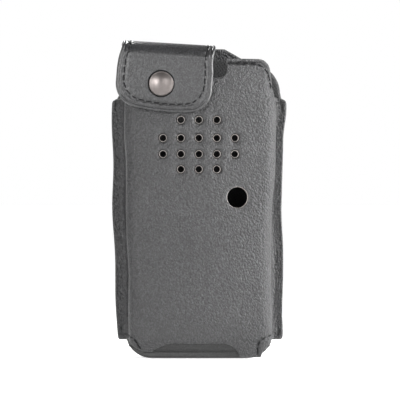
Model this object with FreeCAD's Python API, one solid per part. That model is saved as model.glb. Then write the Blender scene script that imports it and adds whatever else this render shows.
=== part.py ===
import FreeCAD, Part
import math
import os
from FreeCAD import Vector

# Leather carrying case for a handheld two-way radio.
# Millimetres. +Z is up, +X is to the right as seen from the front, the front faces -Y.
# The case stands on its foot with the origin below its middle.

# ---- driving dimensions -------------------------------------------------------------

# leather pocket
FOLD_X = 34.0            # half width of the front panel, at the folds into the gussets
SEAM_X = 41.0            # half width at the side seams, the widest place
GUSSET_BACK_X = 36.6     # half width the gussets would have at the seam without their flare
POUCH_DEPTH = 42.0       # outside of the front leather to outside of the back leather
CROWN_RADIUS = 211.0     # front panel seen from above
CORNER_RADIUS = 5.0      # folds between front panel and gussets
ROLL_START = 22.0        # height where the front panel starts to roll in towards the foot
ROLL_RADIUS = 44.0
FRONT_TOP = 138.0
BACK_TOP = 143.8
LINING_TOP = 138.4       # cloth on the back ends here, under the folded top hem
BOARD_TOP = 137.4
GUSSET_TOP_FRONT = 122.6
GUSSET_TOP_BACK = 120.6
GUSSET_FOOT = 8.0
FLARE_X = 36.0           # outside of the gussets where they start to flare
FLARE_LENGTH = 5.0
LIP_WIDTH = 3.2          # flat seam flange outside the flare

# layers
LEATHER = 1.4
FOAM = 1.3
LINING = 0.6
BOARD = 1.2
LAYER_GAP = 0.02         # keeps sewn layers from sharing volume

# notch in the top edge of the front panel
NOTCH_LEFT = -8.0
NOTCH_RIGHT = 12.5
NOTCH_FLOOR = 129.4
NOTCH_RADIUS = 3.7

# foot
FOOT_HALF_WIDTH = 25.0   # flat part of the floor
FLOOR_HALF_WIDTH = 32.5
FLOOR_TOP = 7.4
FLOOR_SOFTNESS = 2.0     # rounding along the front of the foot
FLOOR_GAP = 0.1
ARCH_TOP = 6.6

# punched holes
SPEAKER_ROWS = ((110.0, 3), (101.6, 5), (94.2, 5), (87.2, 3))
SPEAKER_PITCH = 8.35
SPEAKER_X = -0.2
SPEAKER_RADIUS = 1.95
SPEAKER_STEP = 0.3       # each inner layer is punched this much smaller
CONTROL_X = 17.7
CONTROL_Z = 74.2
CONTROL_RADIUS = 4.95

# closing strap
STRAP_X = -14.9          # middle of the strap over the mouth
STRAP_TOP = 145.4
STRAP_TILT = 3.5         # degrees, its right edge is the lower one
STRAP_HALF_WIDTH = 21.4
STRAP_LEATHER = 1.6
STRAP_THICK = 2.6
STRAP_STAND_OFF = 1.65   # tongue's inner face in front of the front panel
BEND_RADIUS = 6.3        # outside of both folds
HINGE_RADIUS = 5.6       # neutral layer of both folds
TONGUE_HALF_WIDTH = 22.2
TONGUE_LENGTH = 31.8
TONGUE_CORNER = 10.5
ROOT_LENGTH = 40.0       # part sewn to the back
ROOT_HALF_WIDTH = 17.0
ROOT_TAPER = 14.0        # where it starts to narrow
ROOT_CORNER = 5.0
BRIDGE_SWING = 120.0     # degrees
TONGUE_SWING = 100.0     # degrees
FOLD_GAP = 0.3

# snap fastener
SNAP_X = -17.5
SNAP_Z = 126.5
CAP_RADIUS = 5.8
CAP_HEIGHT = 1.9
BARREL_RADIUS = 1.9
SOCKET_RADIUS = 4.9
SOCKET_BORE = 3.5
STUD_RADIUS = 4.8
STUD_FLANGE = 0.5
KNOB_RADIUS = 3.2
KNOB_NECK = 2.6
SPRING_WIRE = 0.2
SNAP_GAP = 0.1
SEAT_DEPTH = 0.9         # flat pressed into the leather under the stud

# belt loop on the back
LOOP_HALF_WIDTH = 20.0
LOOP_FOOT = 18.0
LOOP_TOP = 100.0
LOOP_TAB = 10.0          # sewn down at each end
LOOP_SPACE = 5.0         # room for the belt
LOOP_LEATHER = 1.5
LOOP_THICK = 2.4
LOOP_SLANT = 6.0

# thread
THREAD_RADIUS = 0.3
STITCH_PITCH = 3.6
STITCH_LENGTH = 2.6
HEM = 2.4                # stitch line to the edge of the pouch
TOP_HEM = 2.0            # and to the top edge of the front panel
STRAP_HEM = 3.6          # stitch line to the edge of the strap

# ---- places that follow from them ---------------------------------------------------

FRONT_REACH = STRAP_STAND_OFF + STRAP_THICK + CAP_HEIGHT
BACK_REACH = LOOP_SPACE + LOOP_THICK
Y_FRONT = FRONT_REACH - (FRONT_REACH + POUCH_DEPTH + BACK_REACH) / 2
Y_BACK = Y_FRONT + POUCH_DEPTH
Y_SEAM = Y_BACK - LEATHER - BOARD - LINING - 3 * LAYER_GAP
CORNER_X = FOLD_X - CORNER_RADIUS
CROWN_Y = Y_FRONT + CROWN_RADIUS
CORNER_Y = CROWN_Y - math.sqrt((CROWN_RADIUS - CORNER_RADIUS) ** 2 - CORNER_X ** 2)
FLARE_Y = Y_SEAM - LEATHER - FLARE_LENGTH
LIP_X = SEAM_X - LIP_WIDTH
FAR = 200.0


def crown_y(x):
    """Outer face of the front panel at a distance from the middle."""
    return CROWN_Y - math.sqrt(CROWN_RADIUS ** 2 - x ** 2)


# ---- drawing helpers ----------------------------------------------------------------

def on_plane(plane, point, offset=0.0):
    a, b = point
    if plane == "xy":
        return Vector(a, b, offset)
    if plane == "xz":
        return Vector(a, offset, b)
    return Vector(offset, a, b)


def path(plane, start, *steps, offset=0.0):
    """Edges through the steps: a point is reached by a line, a (through, end) pair by an arc."""
    edges = []
    here = start
    for step in steps:
        a = on_plane(plane, here, offset)
        if isinstance(step[0], tuple):
            through, end = step
            arc = Part.Arc(a, on_plane(plane, through, offset), on_plane(plane, end, offset))
            edges.append(arc.toShape())
        else:
            end = step
            edges.append(Part.makeLine(a, on_plane(plane, end, offset)))
        here = end
    return edges


def face(plane, start, *steps, offset=0.0):
    """Closed flat face, its last point joined to its first."""
    last = steps[-1][1] if isinstance(steps[-1][0], tuple) else steps[-1]
    closing = [] if math.dist(last, start) < 1e-9 else [start]
    return Part.Face(Part.Wire(path(plane, start, *steps, *closing, offset=offset)))


def prism(plane, low, high, start, *steps):
    """Closed outline pulled along the third axis from low to high."""
    length = high - low
    along = {"xy": Vector(0, 0, length), "xz": Vector(0, length, 0), "yz": Vector(length, 0, 0)}
    return face(plane, start, *steps, offset=low).extrude(along[plane])


def box(x0, x1, y0, y1, z0, z1):
    return Part.makeBox(x1 - x0, y1 - y0, z1 - z0, Vector(x0, y0, z0))


def rod(radius, x, z, y0, y1):
    """Round bar along Y."""
    return Part.makeCylinder(radius, y1 - y0, Vector(x, y0, z), Vector(0, 1, 0))


def export(name, shape):
    shape.removeSplitter().exportStep("parts/" + name + ".step")


# ---- layers of the pouch ------------------------------------------------------------

def pocket(inset, flange=False):
    """The pocket as a full block, its front and sides moved in by inset."""
    tilt = math.asin(CORNER_X / (CROWN_RADIUS - CORNER_RADIUS))
    crown = CROWN_RADIUS - inset
    corner = CORNER_RADIUS - inset
    edge = (crown * math.sin(tilt), CROWN_Y - crown * math.cos(tilt))
    middle = (tilt + math.pi / 2) / 2
    through = (CORNER_X + corner * math.sin(middle), CORNER_Y - corner * math.cos(middle))
    side = (FOLD_X - inset, CORNER_Y)
    back = (GUSSET_BACK_X - inset, Y_SEAM)
    right = [(through, side), back]
    if flange:
        bend = (FLARE_X + 0.35, FLARE_Y + FLARE_LENGTH * 0.7)
        lip = (LIP_X, Y_SEAM - LEATHER)
        right = [(through, side), (FLARE_X, FLARE_Y), (bend, lip), (SEAM_X, Y_SEAM - LEATHER),
                 (SEAM_X, Y_SEAM)]
    left = mirrored_steps(edge, right)
    plan = prism("xy", -1, FAR, edge, *right, *left, ((0, Y_FRONT + inset), edge))
    roll = ROLL_RADIUS - inset
    roll_y = Y_FRONT + ROLL_RADIUS
    low = ROLL_START + 1
    foot_y = roll_y - math.sqrt(roll ** 2 - low ** 2)
    half = math.asin(low / roll) / 2
    bulge = (roll_y - roll * math.cos(half), ROLL_START - roll * math.sin(half))
    side_view = prism("yz", -FAR, FAR, (Y_FRONT + inset, FAR), (Y_FRONT + inset, ROLL_START),
                      (bulge, (foot_y, -1)), (Y_SEAM, -1), (Y_SEAM, FAR))
    return plan.common(side_view)


def mirrored_steps(start, steps):
    """The same outline run backwards on the other side of the middle."""
    points = [start] + [step[1] if isinstance(step[0], tuple) else step for step in steps]
    out = [(-points[-1][0], points[-1][1])]
    for number in range(len(steps) - 1, -1, -1):
        x, y = points[number]
        if isinstance(steps[number][0], tuple):
            through = steps[number][0]
            out.append(((-through[0], through[1]), (-x, y)))
        else:
            out.append((-x, y))
    return out


def top_edge(inset):
    """Top edge of the front panel from the left gusset to the right one, moved in by inset."""
    top = FRONT_TOP - inset
    floor = NOTCH_FLOOR - inset
    left = NOTCH_LEFT - inset
    right = NOTCH_RIGHT + inset
    soft = NOTCH_RADIUS * (1 - math.sqrt(0.5))
    shoulder = 33.2 - inset
    return [
        (-shoulder - 0.4, GUSSET_TOP_FRONT - inset),
        (-shoulder, 131.0),
        ((-shoulder + 1.9, top - 2.1), (-shoulder + 6.2, top)),
        (left, top),
        (left, floor + NOTCH_RADIUS),
        ((left + soft, floor + soft), (left + NOTCH_RADIUS, floor)),
        (right - NOTCH_RADIUS, floor),
        ((right - soft, floor + soft), (right, floor + NOTCH_RADIUS)),
        (right, top),
        (shoulder - 6.2, top),
        ((shoulder - 1.9, top - 2.1), (shoulder, 131.0)),
        (shoulder + 0.4, GUSSET_TOP_FRONT - inset),
    ]


def front_keep(inset, foot):
    """What is kept of the front panel: its outline seen from the front."""
    gusset = GUSSET_TOP_FRONT - inset
    wide = FOLD_X + 1
    shape = prism("xz", Y_FRONT - 1, CORNER_Y, (-wide, gusset), *top_edge(inset), (wide, gusset), *foot)
    return shape


def legs():
    """Foot of the front panel: a leg at each side of a wide arch. The right leg is the longer."""
    return [
        (FOLD_X + 1, GUSSET_FOOT),
        (FOLD_X + 0.4, GUSSET_FOOT),
        ((32.2, 4.2), (30.1, 0.8)),
        (30.0, 0.3),
        (18.8, 0.3),
        ((16.2, 4.6), (9.0, ARCH_TOP)),
        (-12.0, ARCH_TOP),
        ((-18.0, 5.2), (-22.4, 2.7)),
        (-28.6, 2.9),
        ((-32.2, 4.9), (-FOLD_X - 0.4, GUSSET_FOOT)),
        (-FOLD_X - 1, GUSSET_FOOT),
    ]


def side_keep(inset):
    """What is kept of the gussets: their outline seen from the side."""
    foot = GUSSET_FOOT + inset
    return prism("yz", -FAR, FAR, (CORNER_Y, foot), (Y_SEAM + 1, foot),
                 (Y_SEAM + 1, GUSSET_TOP_BACK - inset), (CORNER_Y, GUSSET_TOP_FRONT - inset))


def punches(shrink):
    """Speaker holes, control hole and snap hole as one tool."""
    tools = []
    y0 = Y_FRONT - 2
    y1 = Y_FRONT + 12
    for height, count in SPEAKER_ROWS:
        for number in range(count):
            x = SPEAKER_X + (number - (count - 1) / 2) * SPEAKER_PITCH
            tools.append(rod(SPEAKER_RADIUS - shrink, x, height, y0, y1))
    tools.append(rod(CONTROL_RADIUS - shrink, CONTROL_X, CONTROL_Z, y0, y1))
    tools.append(rod(BARREL_RADIUS + 0.1, SNAP_X, SNAP_Z, y0, y1))
    return Part.makeCompound(tools)


def front_shell():
    """Front panel, gussets, seam flanges and legs: one piece of leather."""
    wall = pocket(0, flange=True).cut(pocket(LEATHER))
    wall = wall.common(front_keep(0, legs()).fuse(side_keep(0)))
    seat = rod(STUD_RADIUS + 0.4, SNAP_X, SNAP_Z, Y_FRONT - 2, Y_FRONT + SEAT_DEPTH)
    return wall.cut(punches(0)).cut(seat)


def inner_layer(start, thick, hem, shrink):
    """A layer inside the leather, ending a hem short of its edges."""
    foot = GUSSET_FOOT + hem
    straight = [(FOLD_X + 1, foot), (-FOLD_X - 1, foot)]
    wall = pocket(start + LAYER_GAP).cut(pocket(start + thick))
    return wall.common(front_keep(hem, straight).fuse(side_keep(hem))).cut(punches(shrink))


def floor_block(inset):
    """The foot as a full block: flat below, its ends curling up inside the front leather."""
    half = FOOT_HALF_WIDTH
    wide = FLOOR_HALF_WIDTH - inset
    curl_x = wide - 2.1
    curl_z = 3.1 + inset * 0.7
    soft = FLOOR_SOFTNESS
    nest = pocket(LEATHER + FLOOR_GAP + inset)
    ends = prism("xz", -FAR, Y_SEAM + (FAR if inset else -LAYER_GAP),
                 (-wide, FLOOR_TOP), ((-curl_x, curl_z), (-half, inset)),
                 (half, inset), ((curl_x, curl_z), (wide, FLOOR_TOP)))
    roll = ROLL_RADIUS - LEATHER - FLOOR_GAP - inset
    toe = Y_FRONT + ROLL_RADIUS - math.sqrt(roll ** 2 - (ROLL_START - inset) ** 2)
    side_view = prism("yz", -FAR, FAR, (toe - 1.4, FLOOR_TOP), (toe - 1.4, soft + inset),
                      ((toe - 0.6, inset + 0.5), (toe + soft, inset)), (FAR, inset), (FAR, FLOOR_TOP))
    full = prism("yz", -FAR, FAR, (-FAR, soft + inset), (FAR, soft + inset), (FAR, FLOOR_TOP),
                 (-FAR, FLOOR_TOP))
    return nest.common(ends).common(side_view.fuse(full))


def floor_panel():
    """Leather scoop that closes the foot and turns up behind the front panel."""
    return floor_block(0).cut(floor_block(LEATHER))


def back_outline(inset, plane_y, thick):
    """The back seen from the front, moved in by inset."""
    seam = SEAM_X - inset
    top = BACK_TOP - inset
    foot = inset
    low = GUSSET_FOOT - 0.4 + inset
    half = FOOT_HALF_WIDTH
    return prism(
        "xz", plane_y, plane_y + thick,
        (-half, foot), (half, foot), ((31.2 - inset / 2, 2.6 + inset / 2), (FOLD_X - inset / 2, low)),
        (seam - 1.5, low), ((seam - 0.4, low + 0.4), (seam, low + 1.5)),
        (seam, 117.4), ((seam - 0.62, 119.3), (seam - 2.2, 120.6)),
        (37.9 - inset, 123.4), ((36.4 - inset, 129.2), (33.2 - inset, 133.4)),
        (19.6, 139.4 - inset), ((15.0, 142.0 - inset), (11.8, top)),
        (-31.4, top), ((-34.4 + inset / 2, top - 1.3), (-35.6 + inset, top - 4.4)),
        (-37.6 + inset, 122.6), (-seam + 2.2, 120.6), ((-seam + 0.62, 119.3), (-seam, 117.4)),
        (-seam, low + 1.5), ((-seam + 0.4, low + 0.4), (-seam + 1.5, low)),
        (-FOLD_X + inset / 2, low), ((-31.2 + inset / 2, 2.6 + inset / 2), (-half, foot)))


def strap_space():
    """Room for the strap where it folds over the top edge of the back."""
    radius = BEND_RADIUS - STRAP_THICK
    middle = (ROOT_Y - BEND_RADIUS, -BEND_RADIUS)
    wide = STRAP_HALF_WIDTH + 0.8
    block = box(-wide, wide, middle[0], ROOT_Y + 4, middle[1], 5)
    drum = Part.makeCylinder(radius - FOLD_GAP, 2 * wide, Vector(-wide, *middle), Vector(1, 0, 0))
    return place(block.cut(drum))


def back_layer(inset, y, thick, space, height=BACK_TOP):
    """A layer of the back, cut level at a height and clear of the strap's fold."""
    below = box(-FAR, FAR, y - 1, y + thick + 1, -1, height)
    return back_outline(inset, y, thick).common(below).cut(space)


# ---- closing strap ------------------------------------------------------------------
# Drawn level, with its middle at x = 0 and its top face at z = 0, then tilted into place.

ROOT_Y = Y_BACK + LAYER_GAP + STRAP_THICK        # outer face of the part sewn to the back
TONGUE_Y = Y_FRONT - STRAP_STAND_OFF - STRAP_THICK
REAR_BEND = (ROOT_Y - BEND_RADIUS, -BEND_RADIUS)
FRONT_BEND = (TONGUE_Y + BEND_RADIUS, -BEND_RADIUS)


def place(shape):
    shape.rotate(Vector(0, 0, 0), Vector(0, 1, 0), STRAP_TILT)
    shape.translate(Vector(STRAP_X, 0, STRAP_TOP))
    return shape


def around(middle, radius, degrees):
    turn = math.radians(degrees)
    return (middle[0] + radius * math.cos(turn), middle[1] + radius * math.sin(turn))


def sector(middle, outer, inner, start, end):
    """Steps of a bend: along its outside from start, across at end, back along its inside."""
    half = (start + end) / 2
    return [
        around(middle, outer, start),
        (around(middle, outer, half), around(middle, outer, end)),
        around(middle, inner, end),
        (around(middle, inner, half), around(middle, inner, start)),
    ]


def fold_relief(middle, angle, swing):
    """Crease cut that lets the two sides of a fold open by the swing."""
    apex = around(middle, HINGE_RADIUS, angle)
    wedge_half = swing / 2 + 1
    left = around(apex, 4, angle + wedge_half)
    right = around(apex, 4, angle - wedge_half)
    wedge = prism("yz", -FAR, FAR, apex, left, right)
    turn = math.radians(angle + 90)
    step = (FOLD_GAP / 2 * math.cos(turn), FOLD_GAP / 2 * math.sin(turn))
    inside = around(middle, BEND_RADIUS - STRAP_THICK - 1, angle)
    slot = prism("yz", -FAR, FAR, (apex[0] + step[0], apex[1] + step[1]),
                 (inside[0] + step[0], inside[1] + step[1]),
                 (inside[0] - step[0], inside[1] - step[1]), (apex[0] - step[0], apex[1] - step[1]))
    return wedge.fuse(slot)


def layer_radii(depth0, depth1):
    return BEND_RADIUS - depth0, BEND_RADIUS - depth1


def root_rim(inset):
    """Foot of the root, narrower than the strap, from its left to its right."""
    foot = -ROOT_LENGTH + inset
    wide = ROOT_HALF_WIDTH - inset
    corner = ROOT_CORNER - inset * 0.6
    soft = corner * (1 - math.sqrt(0.5))
    return [
        (-wide, foot + corner),
        ((-wide + soft, foot + soft), (-wide + corner, foot)),
        (wide - corner, foot),
        ((wide - soft, foot + soft), (wide, foot + corner)),
    ]


def root_layer(depth0, depth1):
    outer, inner = layer_radii(depth0, depth1)
    steps = sector(REAR_BEND, outer, inner, 0, 45)
    side = prism("yz", -FAR, FAR, (ROOT_Y - depth0, -ROOT_LENGTH), *steps,
                 (ROOT_Y - depth1, -ROOT_LENGTH))
    top = STRAP_HALF_WIDTH
    outline = prism("xz", -FAR, FAR, (-top, 5), (-top, -ROOT_TAPER), *root_rim(0), (top, -ROOT_TAPER),
                    (top, 5))
    return place(side.common(outline).cut(fold_relief(REAR_BEND, 45, BRIDGE_SWING)))


def bridge_layer(depth0, depth1):
    outer, inner = layer_radii(depth0, depth1)
    rear = sector(REAR_BEND, outer, inner, 45, 90)
    front = sector(FRONT_BEND, outer, inner, 90, 135)
    shape = prism("yz", -STRAP_HALF_WIDTH, STRAP_HALF_WIDTH, rear[0], rear[1], *front, rear[2], rear[3])
    shape = shape.cut(fold_relief(REAR_BEND, 45, BRIDGE_SWING))
    return place(shape.cut(fold_relief(FRONT_BEND, 135, TONGUE_SWING)))


def tongue_layer(depth0, depth1):
    outer, inner = layer_radii(depth0, depth1)
    steps = sector(FRONT_BEND, outer, inner, 135, 180)
    side = prism("yz", -FAR, FAR, steps[0], steps[1], (TONGUE_Y + depth0, -TONGUE_LENGTH),
                 (TONGUE_Y + depth1, -TONGUE_LENGTH), steps[2], steps[3])
    shape = side.common(tongue_outline(0)).cut(fold_relief(FRONT_BEND, 135, TONGUE_SWING))
    return place(shape).cut(rod(BARREL_RADIUS + 0.05, SNAP_X, SNAP_Z, TONGUE_Y - 1, TONGUE_Y + 5))


def tongue_rim(inset):
    """Rim of the tongue from its upper left round to its upper right."""
    top = STRAP_HALF_WIDTH - inset
    wide = TONGUE_HALF_WIDTH - inset
    foot = -TONGUE_LENGTH + inset
    corner = TONGUE_CORNER - inset * 0.6
    soft = corner * (1 - math.sqrt(0.5))
    return [
        (-top, -BEND_RADIUS),
        (-wide, -18.0),
        (-wide, foot + corner),
        ((-wide + soft, foot + soft), (-wide + corner, foot)),
        (wide - corner, foot),
        ((wide - soft, foot + soft), (wide, foot + corner)),
        (wide, -18.0),
        (top, -BEND_RADIUS),
    ]


def tongue_outline(inset):
    rim = tongue_rim(inset)
    top = STRAP_HALF_WIDTH - inset
    return prism("xz", TONGUE_Y - 1, TONGUE_Y + FAR, (-top, 5), *rim, (top, 5))


# ---- snap fastener ------------------------------------------------------------------

def turned(*profile):
    """Turned part on the snap's axis: (radius, y) points, closed on the axis."""
    outline = [(radius, y) for radius, y in profile]
    first = outline[0]
    flat = face("xy", first, *outline[1:])
    solid = flat.revolve(Vector(0, 0, 0), Vector(0, 1, 0), 360)
    solid.translate(Vector(SNAP_X, 0, SNAP_Z))
    return solid


def snap_cap():
    """Domed cap with its barrel, which passes through the strap into the socket."""
    rim = TONGUE_Y - LAYER_GAP
    sphere = (CAP_RADIUS ** 2 + (CAP_HEIGHT - 0.6) ** 2) / (2 * (CAP_HEIGHT - 0.6))
    dome_y = rim - CAP_HEIGHT + sphere
    bowl = sphere - 0.5
    half = 0.5 * math.asin(CAP_RADIUS / sphere)
    outside = (sphere * math.sin(half), dome_y - sphere * math.cos(half))
    edges = path("xy", (0, rim - CAP_HEIGHT), (outside, (CAP_RADIUS, rim - 0.6)), (CAP_RADIUS, rim),
                 (CAP_RADIUS - 0.6, rim))
    well = (0.0, dome_y - bowl)
    reach = CAP_RADIUS - 0.6
    shelf = (reach, dome_y - math.sqrt(bowl ** 2 - reach ** 2))
    middle = 0.5 * math.asin(reach / bowl)
    inside = (bowl * math.sin(middle), dome_y - bowl * math.cos(middle))
    edges += path("xy", (reach, rim), shelf, (inside, well), (0, rim - CAP_HEIGHT))
    flat = Part.Face(Part.Wire(edges))
    shell = flat.revolve(Vector(0, 0, 0), Vector(0, 1, 0), 360)
    shell.translate(Vector(SNAP_X, 0, SNAP_Z))
    length = STRAP_THICK + 0.55
    barrel = rod(BARREL_RADIUS, SNAP_X, SNAP_Z, rim - CAP_HEIGHT + 0.3, rim + length)
    return shell.fuse(barrel)


def snap_socket():
    """Female half: a flat ring pressed on the cap's barrel behind the strap."""
    near = TONGUE_Y + STRAP_THICK + LAYER_GAP
    far = Y_FRONT + SEAT_DEPTH - STUD_FLANGE - SNAP_GAP
    return turned((BARREL_RADIUS + 0.02, near), (SOCKET_RADIUS, near), (SOCKET_RADIUS, far - 0.4),
                  (SOCKET_RADIUS - 0.4, far), (SOCKET_BORE, far), (SOCKET_BORE, near + 0.5),
                  (BARREL_RADIUS + 0.02, near + 0.5))


def snap_spring():
    """Two straight spring wires that lie across the socket beside the stud's neck."""
    y = Y_FRONT + SEAT_DEPTH - STUD_FLANGE - SNAP_GAP - SPRING_WIRE - 0.05
    reach = KNOB_NECK + SPRING_WIRE + 0.1
    half = 1.5
    wires = []
    for side in (-1, 1):
        foot = Vector(SNAP_X + side * reach, y, SNAP_Z - half)
        wires.append(Part.makeCylinder(SPRING_WIRE, 2 * half, foot, Vector(0, 0, 1)))
    return Part.makeCompound(wires)


def snap_stud():
    """Male half: a knob with a waist on a flange, pressed into the front leather."""
    seat = Y_FRONT + SEAT_DEPTH - LAYER_GAP
    flange = seat - STUD_FLANGE
    tip = TONGUE_Y + STRAP_THICK + 0.55 + LAYER_GAP + 0.05
    waist = flange - 0.6
    return turned((0, seat), (STUD_RADIUS, seat), (STUD_RADIUS, flange), (KNOB_NECK, flange),
                  (KNOB_NECK, waist), (KNOB_RADIUS, waist - 0.3), (KNOB_RADIUS - 0.5, tip), (0, tip))


def snap_stud_post():
    """Rivet post that holds the stud from inside the pocket."""
    seat = Y_FRONT + SEAT_DEPTH
    lining = crown_y(SNAP_X - STUD_RADIUS) + LEATHER + FOAM + LINING + 2 * LAYER_GAP
    head = lining + 0.6
    return turned((0, seat), (BARREL_RADIUS, seat), (BARREL_RADIUS, lining), (STUD_RADIUS, lining),
                  (STUD_RADIUS, head), (0, head))


# ---- belt loop ----------------------------------------------------------------------

def loop_layer(depth0, depth1):
    """A layer of the belt loop, between two depths below its outer face."""
    def line(depth):
        out = Y_BACK + LAYER_GAP + LOOP_THICK - depth
        space = out + LOOP_SPACE
        slip = depth * 0.45
        return [
            (out, LOOP_FOOT),
            (out, LOOP_FOOT + LOOP_TAB + slip),
            (space, LOOP_FOOT + LOOP_TAB + LOOP_SLANT + slip),
            (space, LOOP_TOP - LOOP_TAB - LOOP_SLANT - slip),
            (out, LOOP_TOP - LOOP_TAB - slip),
            (out, LOOP_TOP),
        ]
    outside = line(depth0)
    inside = line(depth1)
    points = outside + inside[::-1]
    return prism("yz", -LOOP_HALF_WIDTH, LOOP_HALF_WIDTH, points[0], *points[1:])


# ---- stitching ----------------------------------------------------------------------

def thread_bar(middle, along, length=STITCH_LENGTH):
    unit = Vector(along)
    unit.normalize()
    start = middle - unit * (length / 2)
    return Part.makeCylinder(THREAD_RADIUS, length, start, unit)


def row(edges, lift):
    """Stitches at an even pitch along a run of edges, moved off the leather by lift(point)."""
    bars = []
    wire = Part.Wire(edges)
    count = max(1, round(wire.Length / STITCH_PITCH))
    marks = wire.discretize(Number=2 * count + 1)
    for number in range(count):
        before = lift(marks[2 * number])
        middle = lift(marks[2 * number + 1])
        after = lift(marks[2 * number + 2])
        bars.append(thread_bar(middle, after - before))
    return bars


def proud(y, side):
    """Stitches on a flat face across Y: side -1 is the face towards the front."""
    def lift(point):
        return Vector(point.x, y + side * (THREAD_RADIUS + LAYER_GAP), point.z)
    return lift


def on_front(point):
    """Stitches on the crowned front panel and its rolled foot."""
    low = max(0.0, ROLL_START - point.z)
    roll = Y_FRONT + ROLL_RADIUS - math.sqrt(ROLL_RADIUS ** 2 - low ** 2)
    x = min(abs(point.x) + STITCH_LENGTH / 2, FOLD_X)
    y = min(max(crown_y(abs(point.x)), roll), crown_y(x) + 2)
    return Vector(point.x, y - THREAD_RADIUS - 0.08, point.z)


def front_top_stitching():
    """Along the top edge of the front panel over both shoulders. The notch was cut through it."""
    steps = top_edge(TOP_HEM)
    left = path("xz", steps[1], steps[2], (NOTCH_LEFT - 0.4, steps[3][1]))
    right = path("xz", (NOTCH_RIGHT + 0.4, steps[8][1]), steps[9], steps[10])
    return row(left, on_front) + row(right, on_front)


def gusset_stitching():
    """Hems at the head and foot of both gussets."""
    bars = []
    front = CORNER_Y + 2
    back = FLARE_Y - 1
    rise = (FLARE_X - FOLD_X) / (FLARE_Y - CORNER_Y)
    for side in (-1, 1):
        def lift(point, side=side):
            wall = FOLD_X + rise * (point.y - CORNER_Y)
            return Vector(side * (wall + THREAD_RADIUS + 0.05), point.y, point.z)
        for z in (GUSSET_TOP_BACK - HEM, GUSSET_FOOT + HEM):
            bars += row(path("yz", (front, z), (back, z)), lift)
    return bars


def side_seam_stitching():
    """Seams that join the gusset flanges to the back, seen on the back."""
    x = SEAM_X - HEM
    bars = []
    for side in (-1, 1):
        edges = path("xz", (side * x, GUSSET_FOOT + HEM), (side * x, GUSSET_TOP_BACK - HEM - 1))
        bars += row(edges, proud(Y_BACK, 1))
        bars += row(edges, proud(Y_SEAM - LEATHER, -1))
    return bars


def foot_stitching():
    """Short rows down both legs of the front panel."""
    left = path("xz", (-31.4, 9.8), (-28.0, 4.4))
    right = path("xz", (27.6, 9.6), (27.6, 1.0))
    return row(left, on_front) + row(right, on_front)


def back_top_stitching():
    """Along the top edge of the back, clear of the strap."""
    right = path("xz", (11.0, BACK_TOP - HEM), (19.0, 136.8), (32.0, 131.6),
                 ((34.6, 127.6), (35.4, 123.0)))
    return row(right, proud(Y_BACK, 1))


def belt_loop_stitching():
    """A box of stitches through each sewn end of the loop."""
    bars = []
    wide = LOOP_HALF_WIDTH - HEM
    face_y = Y_BACK + LAYER_GAP + LOOP_THICK
    for low in (LOOP_FOOT + HEM, LOOP_TOP - LOOP_TAB + 1.0):
        high = low + LOOP_TAB - HEM - 1.0
        bars += row(path("xz", (-wide, low), (wide, low)), proud(face_y, 1))
        bars += row(path("xz", (-wide, high), (wide, high)), proud(face_y, 1))
    return bars


def root_stitching():
    """Round the part of the strap that is sewn to the back, and once across it."""
    wide = STRAP_HALF_WIDTH - STRAP_HEM
    high = -BEND_RADIUS - 2
    lift = proud(ROOT_Y, 1)
    bars = row(path("xz", (-wide, high), (-wide, -ROOT_TAPER), *root_rim(STRAP_HEM),
                    (wide, -ROOT_TAPER), (wide, high)), lift)
    bars += row(path("xz", (-wide + 2, -ROOT_TAPER), (wide - 2, -ROOT_TAPER)), lift)
    return [place(bar) for bar in bars]


def bridge_stitching():
    wide = STRAP_HALF_WIDTH - STRAP_HEM
    bars = []
    for side in (-1, 1):
        edges = path("yz", (FRONT_BEND[0] + 0.5, 0), (REAR_BEND[0] - 0.5, 0), offset=side * wide)
        bars += row(edges, lambda point: point + Vector(0, 0, THREAD_RADIUS + LAYER_GAP))
    return [place(bar) for bar in bars]


def tongue_stitching():
    steps = tongue_rim(STRAP_HEM)
    steps[0] = (steps[0][0], -BEND_RADIUS - 0.6)
    steps[-1] = (steps[-1][0], -BEND_RADIUS - 0.6)
    bars = row(path("xz", steps[0], *steps[1:]), proud(TONGUE_Y, -1))
    return [place(bar) for bar in bars]


# ---- pieces -------------------------------------------------------------------------

os.makedirs("parts", exist_ok=True)

export("front_shell", front_shell())
export("front_padding", inner_layer(LEATHER, FOAM, 3.2, SPEAKER_STEP))
export("front_lining", inner_layer(LEATHER + FOAM, LINING, 0.8, 2 * SPEAKER_STEP))
export("floor_panel", floor_panel())

SPACE = strap_space()
export("back_panel", back_layer(0, Y_BACK - LEATHER, LEATHER, SPACE))
export("back_board", back_layer(3.0, Y_BACK - LEATHER - LAYER_GAP - BOARD, BOARD, SPACE, BOARD_TOP))
export("back_lining", back_layer(0.6, Y_SEAM + LAYER_GAP, LINING, SPACE, LINING_TOP))

export("belt_loop", loop_layer(0, LOOP_LEATHER))
export("belt_loop_lining", loop_layer(LOOP_LEATHER, LOOP_THICK))

export("strap_root", root_layer(0, STRAP_LEATHER))
export("strap_root_lining", root_layer(STRAP_LEATHER, STRAP_THICK))
export("bridge_leather", bridge_layer(0, STRAP_LEATHER))
export("bridge_lining", bridge_layer(STRAP_LEATHER, STRAP_THICK))
export("tongue_leather", tongue_layer(0, STRAP_LEATHER))
export("tongue_lining", tongue_layer(STRAP_LEATHER, STRAP_THICK))

export("snap_cap", snap_cap())
export("snap_socket", snap_socket())
export("snap_spring", snap_spring())
export("snap_stud", snap_stud())
export("snap_stud_post", snap_stud_post())

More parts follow.
